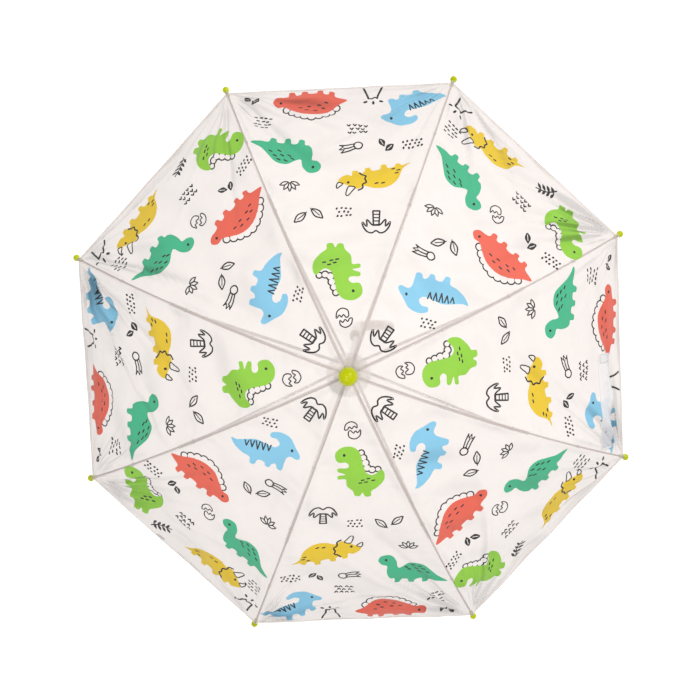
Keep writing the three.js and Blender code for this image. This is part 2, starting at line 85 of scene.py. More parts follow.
joints = {joint["name"]: joint for joint in frame["joints"]}
fold_pivot = joints["canopy_fold"]["pos_m"]
HINGE_RADIUS = math.hypot(fold_pivot[0], fold_pivot[1]) / MM
CROWN_Z = fold_pivot[2] / MM

ARC_RADIUS = (TIP_RADIUS - HINGE_RADIUS) / (math.sin(RIB_END_SLOPE) - math.sin(RIB_START_SLOPE))
RIB_LENGTH = ARC_RADIUS * (RIB_END_SLOPE - RIB_START_SLOPE)

CLOTH_ABOVE = 4.3  # the cloth over the ribs' centreline
CLOTH_INNER_ALONG = -3.8
CLOTH_END_ALONG = RIB_LENGTH - 11.0
CLOTH_SAG = 6.0
CLOTH_SAG_START = 0.1
CLOTH_LAYER = 0.3  # the thickness of one layer, where two lie on each other
GRID_STEP = 4.0
FINE_STEP = 1.7  # the mesh near the ball tips, where the creases are
FINE_REACH = 100.0

HEM_WIDTH = 3.6
STITCH_LENGTH = 2.5
STITCH_GAP = 0.9
STITCH_INSET = 2.6

STRAP_GORE = 8
STRAP_WIDTH = 23.0
STRAP_FROM_HEM = 23.0
STRAP_THICKNESS = 0.8
STRAP_START = 0.05
STRAP_END = 0.97

INK_LINE = 2.1  # the width of the drawn lines


def rib_angle(number):
    return (number - 0.5) * PITCH


def gore_angle(number):
    return number * PITCH


# ---- Meshes ----


def add_piece(name, points, faces, materials=(), face_materials=None, smooth=True):
    """Makes a mesh object from points in millimetres."""
    mesh = bpy.data.meshes.new(name)
    mesh.from_pydata((np.asarray(points, float) * MM).tolist(), [], [list(face) for face in faces])
    piece = bpy.data.objects.new(name, mesh)
    bpy.context.scene.collection.objects.link(piece)
    for material in materials:
        mesh.materials.append(material)
    if face_materials is not None:
        mesh.polygons.foreach_set("material_index", np.asarray(face_materials, np.int32))
    mesh.polygons.foreach_set("use_smooth", [smooth] * len(mesh.polygons))
    mesh.update()
    return piece


def joined(shapes):
    """One list of points and one of faces from several (points, faces)."""
    all_points = []
    all_faces = []
    for points, faces in shapes:
        first = len(all_points)
        all_points.extend(np.asarray(points, float).tolist())
        all_faces.extend([[first + index for index in face] for face in faces])
    return all_points, all_faces


def turned(points, angle, axis="Z"):
    matrix = np.array(Matrix.Rotation(angle, 3, axis))
    return np.asarray(points, float) @ matrix.T


def lathe(profile, sides=48):
    """A surface of revolution about Z from (radius, height) points: from axis to axis, or closed."""
    closed = profile[0] == profile[-1]
    rows = profile[:-1] if closed else profile
    points = []
    rings = []
    for radius, height in rows:
        if radius < 1e-6:
            rings.append([len(points)] * sides)
            points.append((0.0, 0.0, height))
            continue
        rings.append(list(range(len(points), len(points) + sides)))
        for i in range(sides):
            angle = 2 * math.pi * i / sides
            points.append((radius * math.cos(angle), radius * math.sin(angle), height))
    faces = []
    pairs = list(zip(rings, rings[1:] + rings[:1])) if closed else list(zip(rings, rings[1:]))
    for low, high in pairs:
        for i in range(sides):
            j = (i + 1) % sides
            corners = [low[i], low[j], high[j], high[i]]
            face = [c for k, c in enumerate(corners) if c not in corners[:k]]
            if len(face) > 2:
                faces.append(face)
    return points, faces


def arc_points(centre, radius, start, end, steps):
    """(radius, height) points on an arc; angles in degrees from the +radius direction."""
    made = []
    for i in range(steps + 1):
        angle = math.radians(start + (end - start) * i / steps)
        made.append((centre[0] + radius * math.cos(angle), centre[1] + radius * math.sin(angle)))
    return made


def ring_faces(rings, count):
    """Quads between closed rings of count points each, one ring after the other."""
    faces = []
    for i in range(rings - 1):
        for k in range(count):
            m = (k + 1) % count
            faces.append([i * count + k, i * count + m, (i + 1) * count + m, (i + 1) * count + k])
    return faces


def run_lengths(points):
    """How far along a path each of its points is."""
    return np.concatenate([[0], np.cumsum(np.linalg.norm(np.diff(points, axis=0), axis=1))])


def sweep(path, ups, section_at):
    """Sweeps a closed section along a path. section_at(i) gives the (side, up) points at point i."""
    path = np.asarray(path, float)
    ups = np.asarray(ups, float)
    tangents = np.gradient(path, axis=0)
    tangents /= np.linalg.norm(tangents, axis=1)[:, None]
    sides = np.cross(ups, tangents)
    sides /= np.linalg.norm(sides, axis=1)[:, None]
    normals = np.cross(tangents, sides)
    points = []
    for i in range(len(path)):
        for side, up in section_at(i):
            points.append(path[i] + sides[i] * side + normals[i] * up)
    count = len(points) // len(path)
    faces = ring_faces(len(path), count)
    faces.append(list(range(count))[::-1])
    faces.append(list(range((len(path) - 1) * count, len(path) * count)))
    return points, faces


def circle_section(radius, sides=16):
    turns = np.arange(sides) * 2 * math.pi / sides
    return np.stack([radius * np.cos(turns), radius * np.sin(turns)], axis=1)


def face_outwards(piece):
    shape = bmesh.new()
    shape.from_mesh(piece.data)
    bmesh.ops.recalc_face_normals(shape, faces=shape.faces)
    shape.to_mesh(piece.data)
    shape.free()
    return piece


SHARP_EDGE = math.radians(35)  # edges at least this steep stay sharp and are bevelled


def solid(name, shape, materials, face_materials=None):
    """A closed piece from (points, faces), with its faces turned outwards."""
    return face_outwards(add_piece(name, *shape, materials, face_materials))


def smooth_shading():
    """A modifier's node group that shades smoothly across all but the sharp edges."""
    group = bpy.data.node_groups.new("smooth_shading", "GeometryNodeTree")
    for direction in ("INPUT", "OUTPUT"):
        group.interface.new_socket("Geometry", in_out=direction, socket_type="NodeSocketGeometry")
    source = group.nodes.new("NodeGroupInput")
    target = group.nodes.new("NodeGroupOutput")
    faces = group.nodes.new("GeometryNodeSetShadeSmooth")
    faces.domain = "FACE"
    edges = group.nodes.new("GeometryNodeSetShadeSmooth")
    edges.domain = "EDGE"
    edges.inputs["Shade Smooth"].default_value = False
    angle = group.nodes.new("GeometryNodeInputMeshEdgeAngle")
    sharp = group.nodes.new("FunctionNodeCompare")
    sharp.operation = "GREATER_THAN"
    sharp.inputs["B"].default_value = SHARP_EDGE
    group.links.new(source.outputs[0], faces.inputs["Geometry"])
    group.links.new(faces.outputs["Geometry"], edges.inputs["Geometry"])
    group.links.new(angle.outputs["Unsigned Angle"], sharp.inputs["A"])
    group.links.new(sharp.outputs["Result"], edges.inputs["Selection"])
    group.links.new(edges.outputs["Geometry"], target.inputs[0])
    return group


def soften(node, width, shading):
    """Rounds a CAD node's edges by width millimetres and shades it smoothly."""
    if width:
        modifier = node.modifiers.new("edges", "BEVEL")
        modifier.width = width * MM
        modifier.segments = 2
        modifier.limit_method = "ANGLE"
        modifier.angle_limit = SHARP_EDGE
    node.modifiers.new("shading", "NODES").node_group = shading


def rib_point(along, above=0.0):
    """Distance from the shaft's axis and height of points along a rib and above its centreline."""
    slope = RIB_START_SLOPE + np.asarray(along, float) / ARC_RADIUS
    radius = HINGE_RADIUS + ARC_RADIUS * (np.sin(slope) - math.sin(RIB_START_SLOPE))
    drop = ARC_RADIUS * (math.cos(RIB_START_SLOPE) - np.cos(slope))
    return radius + above * np.sin(slope), CROWN_Z - drop + above * np.cos(slope)


# ---- The flat gore and the surface it is stretched into ----


def sag_at(along):
    reach = np.clip((np.asarray(along) / RIB_LENGTH - CLOTH_SAG_START) / (1 - CLOTH_SAG_START), 0, 1)
    return CLOTH_SAG * np.sin(math.pi * reach) ** 2


rib_alongs = np.linspace(CLOTH_INNER_ALONG, CLOTH_END_ALONG, 500)
rib_radii, rib_heights = rib_point(rib_alongs, CLOTH_ABOVE)
middle_steps = np.hypot(
    np.diff(rib_radii * math.cos(HALF_PITCH)), np.diff(rib_heights - sag_at(rib_alongs))
)
flat_alongs = np.concatenate([[0.0], np.cumsum(middle_steps)])
FLAT_LENGTH = flat_alongs[-1]


def half_width(flat_along):
    return np.interp(flat_along, flat_alongs, rib_radii) * math.sin(HALF_PITCH)


HALF_HEM = float(half_width(FLAT_LENGTH))


FAN_HEIGHT = 2.4  # creases that fan out from a ball tip
FAN_WEDGE = math.radians(67.5)  # from the hem to the seam at a ball tip
CREASE_COUNT = 9
CREASE_STRENGTH = (0.6, 1.9)  # how strong a corner's creases are, from the weakest to the strongest
CREASE_REACH = (30, 65)
CREASE_WIDTH = (1.9, 4.6)
CREASE_BEND = 0.12
SWELL_COUNT = 7
SWELL_LENGTH = (45, 110)
SWELL_HEIGHT = 0.8  # slack between the creases
SEAM_TAUT = 9.0  # how far from a seam the cloth lies flat
PUCKER_HEIGHT = 0.16  # gathers along a seam
PUCKER_WIDTH = 9.0
PUCKER_PITCHES = (21, 13)  # the two waves that the gathers are made of
GROOVE_DEPTH = 0.6  # where two gores are sewn together
GROOVE_WIDTH = 1.3
HEM_TAUT = 5.0
HEM_FLAT = 0.85  # the share of the wrinkles that the hem pulls flat

# Darkening that is painted on and stays the same in every pose. It isn't the work of the lamps below.
LIGHT_FROM = (0.6, 0.8)  # the side that the painted shadows turn away from
SEAM_SHADE = 0.35  # seams that slope away from it
SHADE_AWAY = 0.36  # cloth that slopes away from it
SHADE_STEEP = 0.5  # steep folds
SHADE_FOLDS_MOST = 0.4  # the most that folds darken the cloth
SHADE_HEM = 0.11  # the steep part of the dome


def creases_at(draw):
    """Creases that fan out from one ball tip: bearing from the hem, reach, width, height and bend."""
    made = []
    strength = draw.uniform(*CREASE_STRENGTH)
    for i in range(CREASE_COUNT):
        bearing = FAN_WEDGE * (i + draw.uniform(0.2, 0.8)) / CREASE_COUNT
        reach = draw.uniform(*CREASE_REACH) * (1.4 if i % 3 == 1 else 0.8)
        width = draw.uniform(*CREASE_WIDTH)
        height = FAN_HEIGHT * strength * draw.uniform(0.5, 1.1) * (-1 if i % 2 else 1)
        made.append((bearing, reach, width, height, draw.uniform(-CREASE_BEND, CREASE_BEND)))
    return made


def wrinkles(gore):
    """How far gore's cloth stands out of its even surface, as a function of flat places."""
    draw = np.random.default_rng(100 + gore)
    fans = {corner: creases_at(draw) for corner in (-1, 1)}
    swells = []
    for _ in range(SWELL_COUNT):
        swells.append((draw.uniform(*SWELL_LENGTH), draw.uniform(0, math.pi), draw.uniform(0, 2 * math.pi)))
    phase_shift = draw.uniform(0, 2 * math.pi)

    def height(across, along):
        from_seam = np.maximum(half_width(along) - np.abs(across), 0)
        total = np.zeros_like(across)
        for corner, creases in fans.items():
            inwards = HALF_HEM - corner * across
            distance = np.hypot(inwards, FLAT_LENGTH - along)
            bearing = np.arctan2(FLAT_LENGTH - along, inwards)
            for heading, reach, width, tall, bend in creases:
                beside = distance * np.sin(bearing - heading - bend * distance / 100)
                spread = width * (0.6 + distance / 90)
                fade = distance / reach * np.exp(1 - distance / reach)
                total += tall * fade * np.exp(-((beside / spread) ** 2))
        for length, heading, phase in swells:
            run = across * math.cos(heading) + along * math.sin(heading)
            total += SWELL_HEIGHT * np.sin(2 * math.pi * run / length + phase)
        total *= 1 - np.exp(-((from_seam / SEAM_TAUT) ** 2))
        total *= 1 - HEM_FLAT * np.exp(-(((FLAT_LENGTH - along) / HEM_TAUT) ** 2))
        ripple = np.sin(2 * math.pi * along / PUCKER_PITCHES[0] + phase_shift)
        ripple = ripple + 0.6 * np.sin(2 * math.pi * along / PUCKER_PITCHES[1] + 2 * phase_shift)
        total += PUCKER_HEIGHT * ripple * from_seam / PUCKER_WIDTH * np.exp(1 - from_seam / PUCKER_WIDTH)
        return total - GROOVE_DEPTH * np.exp(-((from_seam / GROOVE_WIDTH) ** 2))

    return height


class Gore:
    """The curved surface of one gore. place() takes flat places and gives points and normals."""

    def __init__(self, number):
        self.number = number
        self.height = wrinkles(number)

    def shade(self, across, along):
        """How much painted shade darkens the cloth: where a crease turns away from LIGHT_FROM or is steep,
        and more towards the hem.
        """
        step = 0.8
        angle = gore_angle(self.number)
        over = (self.height(across + step, along) - self.height(across - step, along)) / (2 * step)
        inner = np.clip(along, step, FLAT_LENGTH - step)
        down = (self.height(across, inner + step) - self.height(across, inner - step)) / (2 * step)
        east = down * math.cos(angle) - over * math.sin(angle)
        north = down * math.sin(angle) + over * math.cos(angle)
        away = LIGHT_FROM[0] * east + LIGHT_FROM[1] * north
        near_seam = np.clip((half_width(along) - np.abs(across)) / 4 - 0.5, 0, 1)
        folds = SHADE_AWAY * np.maximum(away, 0) + SHADE_STEEP * np.hypot(over, down) ** 2
        folds = np.clip(folds, 0, SHADE_FOLDS_MOST)
        return near_seam * folds + SHADE_HEM * (along / FLAT_LENGTH) ** 4

    def even(self, across, along):
        """The surface without its wrinkles, turned so that the gore's middle lies along +X."""
        radius = np.interp(along, flat_alongs, rib_radii)
        level = np.interp(along, flat_alongs, rib_heights)
        from_rib = 1 - np.clip(np.abs(across) / half_width(along), 0, 1)
        sag = sag_at(np.interp(along, flat_alongs, rib_alongs))
        return np.stack(
            [radius * math.cos(HALF_PITCH), across, level - sag * (1 - (1 - from_rib) ** 2)], axis=-1
        )

    def even_normal(self, across, along):
        step = 1.0
        inner = np.clip(along, step, FLAT_LENGTH - step)
        down = self.even(across, inner + step) - self.even(across, inner - step)
        over = self.even(across + step, inner) - self.even(across - step, inner)
        normal = np.cross(down, over)
        return normal / np.linalg.norm(normal, axis=-1)[..., None]

    def local(self, across, along, above):
        lift = self.height(across, along) + above
        return self.even(across, along) + self.even_normal(across, along) * lift[..., None]

    def place(self, across, along, above=0.0):
        """Points and normals of flat places, above millimetres over the cloth, in the CAD frame."""
        across = np.asarray(across, float)
        along = np.asarray(along, float)
        above = np.broadcast_to(np.asarray(above, float), across.shape)
        limit = half_width(along)
        across = np.clip(across, -limit, limit)
        step = 0.6
        points = self.local(across, along, above)
        inner = np.clip(along, step, FLAT_LENGTH - step)
        down = self.local(across, inner + step, above) - self.local(across, inner - step, above)
        left = np.maximum(across - step, -limit)
        right = np.minimum(across + step, limit)
        over = self.local(right, along, above) - self.local(left, along, above)
        normals = np.cross(down, over)
        normals /= np.maximum(np.linalg.norm(normals, axis=-1), 1e-9)[..., None]
        angle = gore_angle(self.number)
        return turned(points, angle), turned(normals, angle)


gores = {number: Gore(number) for number in range(1, RIB_COUNT + 1)}


def half_name(family, gore, side):
    return f"{family}_{gore}_{'left' if side < 0 else 'right'}"


def hang(piece, gore):
    """Bakes a piece of cloth's place into its points. It also works out each point's turn from the gore's
    middle, which nothing uses.
    """
    middle = gore_angle(gore)
    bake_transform(piece)
    places = np.array([vertex.co for vertex in piece.data.vertices], float)
    angles = np.arctan2(places[:, 1], places[:, 0]) - middle
    angles = (angles + math.pi) % (2 * math.pi) - math.pi
    return piece


def paint_shade(piece, shades):
    """Stores the painted darkening that cloth_material() reads."""
    attribute = piece.data.attributes.new("fold_shade", "FLOAT", "POINT")
    attribute.data.foreach_set("value", shades.astype(np.float32))


# ---- Materials ----


def linear(red, green, blue):
    """A colour given as it looks on a screen, 0 to 255, as the shader needs it."""

    def one(value):
        value /= 255
        return value / 12.92 if value <= 0.04045 else ((value + 0.055) / 1.055) ** 2.4

    return (one(red), one(green), one(blue), 1.0)


def dulled(colour, share):
    return tuple(channel * share for channel in colour[:3]) + (1.0,)


class Nodes:
    """A material's node tree, with short calls to add to it."""

    def __init__(self, name):
        self.material = bpy.data.materials.new(name)
        self.material.use_nodes = True
        self.tree = self.material.node_tree
        self.shader = self.tree.nodes["Principled BSDF"]
        self.output = self.tree.nodes["Material Output"]

    def add(self, kind, **values):
        node = self.tree.nodes.new(kind)
        for name, value in values.items():
            if name in node.inputs:
                node.inputs[name].default_value = value
            else:
                setattr(node, name, value)
        return node

    def link(self, source, target):
        self.tree.links.new(source, target)

    def feed(self, node, values):
        """Links a node's inputs to the sockets among the values, and stores the other values."""
        for name, value in values.items():
            if isinstance(value, bpy.types.NodeSocket):
                self.link(value, node.inputs[name])
            else:
                node.inputs[name].default_value = value

    def place(self):
        return self.add("ShaderNodeTexCoord").outputs["Object"]

    def noise(self, scale, detail=3.0):
        node = self.add("ShaderNodeTexNoise")
        self.feed(node, {"Scale": scale, "Detail": detail, "Vector": self.place()})
        return node.outputs["Fac"]

    def wave(self, scale, direction="X", distortion=0.0, vector=None):
        node = self.add("ShaderNodeTexWave", wave_type="BANDS", bands_direction=direction)
        self.feed(node, {"Scale": scale, "Distortion": distortion, "Vector": vector or self.place()})
        return node.outputs["Fac"]

    def ramp(self, value, stops):
        node = self.add("ShaderNodeValToRGB")
        ramp = node.color_ramp
        while len(ramp.elements) < len(stops):
            ramp.elements.new(0.5)
        for element, (position, colour) in zip(ramp.elements, stops):
            element.position = position
            element.color = colour
        self.link(value, node.inputs["Fac"])
        return node.outputs["Color"]

    def span(self, value, low, high):
        node = self.add("ShaderNodeMapRange")
        self.feed(node, {"To Min": low, "To Max": high, "Value": value})
        return node.outputs["Result"]

    def bump(self, value, height, normal=None):
        """A bump of the given height in millimetres."""
        node = self.add("ShaderNodeBump")
        self.feed(node, {"Distance": height * MM, "Height": value})
        if normal is not None:
            self.link(normal, node.inputs["Normal"])
        return node.outputs["Normal"]


WAVES = 2 * math.pi * 1000 / 20  # the wave texture's scale for bands a millimetre apart


def weave_of(nodes, pitch):
    """Threads that cross each other, pitch millimetres apart, as one height."""
    coordinates = nodes.place()
    waves = [nodes.wave(WAVES / pitch, direction, 0.4, coordinates) for direction in "XY"]
    mixed = nodes.add("ShaderNodeMath", operation="MULTIPLY")
    nodes.link(waves[0], mixed.inputs[0])
    nodes.link(waves[1], mixed.inputs[1])
    return mixed.outputs["Value"]


def cloth_material(name, colour, see_through, glow, weave=0.7, roughness=0.55, lift=0.0):
    """Thin printed cloth: light comes through it, and a little of what is behind it shows.

    The colour is darkened by the fold_shade attribute, which is painted shade. lift is painted light:
    a glow that the cloth gives off itself, though it is no lamp.
    """
    nodes = Nodes(name)
    # Painted shade: the colour is scaled down by the fold_shade attribute.
    fold = nodes.add("ShaderNodeAttribute", attribute_name="fold_shade").outputs["Fac"]
    folded = nodes.add("ShaderNodeVectorMath", operation="SCALE")
    mottled = nodes.ramp(nodes.noise(60.0, 4.0), [(0.3, dulled(colour, 0.97)), (0.7, colour)])
    nodes.link(mottled, folded.inputs[0])
    nodes.link(nodes.span(fold, 1.0, 0.0), folded.inputs["Scale"])
    tint = folded.outputs["Vector"]
    weave = nodes.bump(weave_of(nodes, weave), 0.02)
    creases = nodes.bump(nodes.noise(90.0, 5.0), 0.25, weave)
    uneven = nodes.span(nodes.noise(400.0), roughness - 0.06, roughness + 0.06)
    shader = nodes.shader
    nodes.feed(shader, {"Base Color": tint, "Normal": creases, "Roughness": uneven})
    # lift is a painted glow: light that the cloth gives off though it is no lamp.
    nodes.feed(shader, {"Emission Color": colour, "Emission Strength": lift})
    nodes.feed(shader, {"Sheen Weight": 0.05, "Sheen Roughness": 0.4, "Specular IOR Level": 0.3})
    through = nodes.add("ShaderNodeBsdfTranslucent")
    nodes.feed(through, {"Color": tint, "Normal": creases})
    lit = nodes.add("ShaderNodeMixShader")
    nodes.feed(lit, {0: glow, 1: shader.outputs["BSDF"], 2: through.outputs["BSDF"]})
    clear = nodes.add("ShaderNodeBsdfTransparent")
    both = nodes.add("ShaderNodeMixShader")
    nodes.feed(both, {0: see_through, 1: lit.outputs["Shader"], 2: clear.outputs["BSDF"]})
    nodes.link(both.outputs["Shader"], nodes.output.inputs["Surface"])
    return nodes.material


def plastic_material(name, colour, roughness, coat=0.0, specular=0.5):
    """Moulded plastic, with faint flow marks and fine scratches."""
    nodes = Nodes(name)
    clouded = nodes.ramp(nodes.noise(35.0, 2.0), [(0.35, dulled(colour, 0.9)), (0.65, colour)])
    fine = nodes.noise(900.0, 2.0)
    scratched = nodes.span(fine, roughness * 0.85, roughness * 1.25)
    flow = nodes.bump(nodes.noise(120.0, 3.0), 0.06)
    marked = nodes.bump(fine, 0.006, flow)
    nodes.feed(nodes.shader, {"Base Color": clouded, "Roughness": scratched, "Normal": marked})
    nodes.feed(nodes.shader, {"Specular IOR Level": specular, "Coat Weight": coat, "Coat Roughness": 0.08})
    return nodes.material


def metal_material(name, colour, roughness, brushed=0.0):
    """Plated or drawn metal, with fine marks and duller patches."""
    nodes = Nodes(name)
    worn = nodes.noise(150.0, 5.0)
    patchy = nodes.ramp(worn, [(0.3, dulled(colour, 0.8)), (0.6, colour)])
    duller = nodes.span(worn, roughness * 0.7, roughness * 1.5)
    marked = nodes.bump(nodes.noise(1500.0, 2.0), 0.01 + brushed)
    nodes.feed(nodes.shader, {"Base Color": patchy, "Roughness": duller, "Normal": marked, "Metallic": 1.0})
    return nodes.material


def thread_material(name, colour, pitch):
    """Twisted thread or tape: ribs pitch millimetres apart."""
    nodes = Nodes(name)
    ribs = nodes.wave(WAVES / pitch, "DIAGONAL", 0.8)
    # The ribs' grooves are darker in colour as well as lower: painted shade.
    ribbed = nodes.ramp(ribs, [(0.1, dulled(colour, 0.78)), (0.7, colour)])
    raised = nodes.bump(ribs, 0.12)
    fuzzy = nodes.span(nodes.noise(700.0), 0.7, 0.95)
    nodes.feed(nodes.shader, {"Base Color": ribbed, "Normal": raised, "Roughness": fuzzy})
    nodes.feed(nodes.shader, {"Sheen Weight": 0.3})
    return nodes.material


white = linear(250, 238, 232)
ink = linear(30, 27, 28)
print_colours = {
    "cloth": white,
    "ink": ink,
    "green": linear(158, 228, 58),
    "teal": linear(62, 200, 148),
    "red": linear(255, 106, 82),
    "yellow": linear(255, 216, 26),
    "blue": linear(146, 220, 255),
}
CLEAR = 0.34  # how much of what is behind the bare cloth shows through it
CLEAR_PRINTED = 0.1 * CLEAR
GLOW = 0.12  # how much of the light goes through to the other side
print_materials = {
    colour: cloth_material(f"print_{colour}", value, CLEAR if colour == "cloth" else CLEAR_PRINTED, GLOW)
    for colour, value in print_colours.items()
}
COLOURS = list(print_colours)
hem_cloth = cloth_material("hem_cloth", white, 0.8, 0.3)
seam_cloth = cloth_material("seam_cloth", white, 0.88, 0.3)
patch_cloth = cloth_material("patch_cloth", linear(238, 238, 246), 0.6, 0.35)
# The strap's webbing and its hook and loop give off a little painted light (lift), as if lit through from
# below.
webbing = cloth_material(
    "strap_webbing", linear(255, 254, 255), 0.34, 0.02, weave=0.9, roughness=0.75, lift=0.07
)
fleece = cloth_material(
    "hook_and_loop", linear(240, 241, 246), 0.2, 0.05, weave=0.8, roughness=0.95, lift=0.03
)
label_tape = cloth_material("label_tape", linear(104, 103, 106), 0.0, 0.05, weave=0.5)
sewing_thread = thread_material("sewing_thread", linear(228, 224, 222), 0.5)
lime = plastic_material("lime_plastic", linear(212, 222, 0), 0.2, specular=0.3)
white_plastic = plastic_material("white_plastic", linear(236, 236, 233), 0.38)
handle_plastic = plastic_material("handle_plastic", linear(240, 240, 238), 0.26, coat=0.2)
rod_resin = plastic_material("rod_resin", linear(84, 84, 90), 0.25)
chrome = metal_material("shaft_chrome", (0.46, 0.47, 0.50, 1), 0.2)
rib_metal = metal_material("rib_steel", (0.7, 0.7, 0.73, 1), 0.34, 0.01)
wire_metal = metal_material("wire_steel", (0.48, 0.49, 0.51, 1), 0.3)

# ---- The print: shapes drawn in millimetres, x to the right and y towards the crown ----


def curve(points, closed=True, steps=4):
    """A smooth curve through the points."""
    points = np.asarray(points, float)
    count = len(points)
    made = []
    for i in range(count if closed else count - 1):
        if closed:
            before, start, end, after = (points[(i + k) % count] for k in (-1, 0, 1, 2))
        else:
            before, start, end, after = (points[min(max(i + k, 0), count - 1)] for k in (-1, 0, 1, 2))
        for step in range(steps):
            t = step / steps
            made.append(
                0.5
                * (
                    2 * start
                    + (end - before) * t
                    + (2 * before - 5 * start + 4 * end - after) * t**2
                    + (3 * start - before - 3 * end + after) * t**3
                )
            )
    if not closed:
        made.append(points[-1])
    return np.array(made)


def offset(points, distance):
    """A closed curve moved outwards by distance."""
    points = np.asarray(points, float)
    turn = np.sum(points[:, 0] * np.roll(points[:, 1], -1) - np.roll(points[:, 0], -1) * points[:, 1])
    along = np.roll(points, -1, axis=0) - np.roll(points, 1, axis=0)
    along /= np.linalg.norm(along, axis=1)[:, None]
    outwards = np.stack([along[:, 1], -along[:, 0]], axis=1) * np.sign(turn)
    return points + outwards * distance


def ribbon(points, width=INK_LINE):
    """The outline of a line of the given width with rounded ends."""
    points = np.asarray(points, float)
    along = np.gradient(points, axis=0)
    along /= np.linalg.norm(along, axis=1)[:, None]
    beside = np.stack([-along[:, 1], along[:, 0]], axis=1) * width / 2
    cap = 0.35 * width
    start = [points[0] - along[0] * cap + beside[0] / 2, points[0] - along[0] * cap - beside[0] / 2]
    end = [points[-1] + along[-1] * cap - beside[-1] / 2, points[-1] + along[-1] * cap + beside[-1] / 2]
    return np.concatenate([start, points - beside, end, (points + beside)[::-1]])


def line(*points, width=INK_LINE):
    """A smooth line."""
    return [("ink", ribbon(curve(points, closed=False), width))]


def straight(*points, width=INK_LINE):
    """A line with corners."""
    made = []
    for start, end in zip(points, points[1:]):
        made.append(("ink", ribbon([start, end], width)))
    return made


def filled(colour, points, steps=4):
    return [(colour, curve(points, steps=steps))]


def outlined(points, width=INK_LINE):
    shape = curve(points)
    return [("ink", offset(shape, width / 2)), ("cloth", offset(shape, -width / 2))]


def turn_matrix(turn):
    """Turns flat points, as rows, by degrees."""
    lean = math.radians(turn)
    return np.array([[math.cos(lean), math.sin(lean)], [-math.sin(lean), math.cos(lean)]])


def oval(colour, x, y, width, height, turn=0.0, sides=10):
    angle = np.arange(sides) * 2 * math.pi / sides
    points = np.stack([np.cos(angle) * width / 2, np.sin(angle) * height / 2], axis=1)
    return [(colour, points @ turn_matrix(turn) + (x, y))]


def scallops(spine, count, radius):
    """White bumps with a dark rim along a curve. The body is drawn over their inner halves."""
    path = curve(spine, closed=False, steps=8)
    lengths = run_lengths(path)
    rims = []
    fills = []
    for i in range(count):
        where = (i + 0.5) / count * lengths[-1]
        x, y = (np.interp(where, lengths, path[:, k]) for k in (0, 1))
        size = 2 * radius * (0.72 + 0.28 * math.sin(math.pi * (i + 0.5) / count))
        rims += oval("ink", x, y, size + INK_LINE, size + INK_LINE, sides=16)
        fills += oval("cloth", x, y, size - 0.7 * INK_LINE, size - 0.7 * INK_LINE, sides=16)
    return rims + fills


MARK_WIDTH = 1.8


def marks(places, length=3.4, turn=0.0):
    """Short strokes."""
    made = []
    lean = math.radians(turn)
    reach = np.array([math.cos(lean), math.sin(lean)]) * length / 2
    for x, y in places:
        made.append(("ink", ribbon([np.array([x, y]) - reach, np.array([x, y]) + reach], MARK_WIDTH)))
    return made


def eye(x, y):
    return oval("ink", x, y, 3.6, 4.0)


def theropod():
    body = [
        (-27, 20), (-26, 29), (-17, 35), (-5, 34), (3, 26), (6, 12), (9, 0), (15, -5), (21, -4), (28, 2),
        (32, -3), (31, -14), (22, -24), (15, -29), (14, -36), (7, -37), (4, -31), (0, -36), (-6, -35),
        (-8, -28), (-15, -20), (-16, -10), (-25, -10), (-25, -5), (-16, -3), (-25, 1), (-24, 6), (-14, 6),
        (-11, 10), (-15, 14), (-23, 14),
    ]
    shape = scallops([(4, 29), (9, 13), (13, 3), (28, 3)], 6, 4.6)
    shape += filled("green", body)
    shape += eye(-16, 24)
    return shape + marks([(5, -12), (12, -10), (9, -15), (18, -13), (2, -16)], 3.6, 8)


def plated():
    body = [
        (-48, -5), (-37, 2), (-24, 12), (-8, 18), (8, 17), (22, 9), (32, 2), (41, 2), (47, -5), (42, -12),
        (32, -13), (27, -15), (26, -21), (20, -22), (17, -16), (11, -17), (9, -22), (3, -22), (1, -17),
        (-9, -17), (-11, -22), (-17, -22), (-18, -16), (-24, -15), (-26, -20), (-32, -18), (-33, -11),
    ]
    shape = scallops([(-37, 4), (-22, 16), (-3, 22), (15, 16), (33, 4)], 9, 6.0)
    shape += filled("red", body)
    shape += eye(37, -5)
    return shape + marks([(-17, 6), (-7, 10), (4, 9), (-12, 2), (1, 3), (12, 4), (-21, -1)], 3.8, -6)


def crested():
    body = [
        (-46, 9), (-39, 8), (-29, 10), (-14, 13), (2, 9), (11, 8), (16, 13), (12, 19), (4, 20), (4, 26),
        (15, 29), (28, 25), (36, 15), (44, 4), (41, -1), (32, 1), (27, -3), (25, -12), (23, -20),
        (17, -20), (14, -14), (9, -16), (6, -21), (1, -20), (-1, -15), (-9, -14), (-13, -21), (-19, -20),
        (-20, -12), (-30, -8), (-41, 0),
    ]
    shape = filled("blue", body)
    shape += eye(33, 9)
    for i, depth in enumerate((7, 9, 11, 10, 8)):
        x = -25.5 + 7.2 * i
        top = 7.6 + 3.4 * math.sin(math.pi * (i + 1) / 6)
        shape += straight((x - 2.6, top), (x, top - depth), (x + 2.4, top), width=1.7)
    return shape


def long_necked():
    body = [
        (-45, 14), (-41, 22), (-30, 24), (-22, 16), (-19, 5), (-13, 6), (-2, 13), (12, 11), (23, 1),
        (33, -9), (47, -17), (34, -19), (24, -18), (21, -24), (15, -24), (13, -18), (5, -19), (3, -24),
        (-3, -24), (-5, -18), (-12, -18), (-15, -24), (-21, -23), (-22, -17), (-27, -16), (-31, -11),
        (-33, -2), (-33, 6), (-40, 8),
    ]
    shape = filled("teal", body)
    shape += eye(-35, 16)
    shape += marks([(-8, 4), (0, 8), (9, 7), (-4, 0), (5, 1), (14, 2), (20, -4), (9, -5)], 4.4, -24)
    return shape


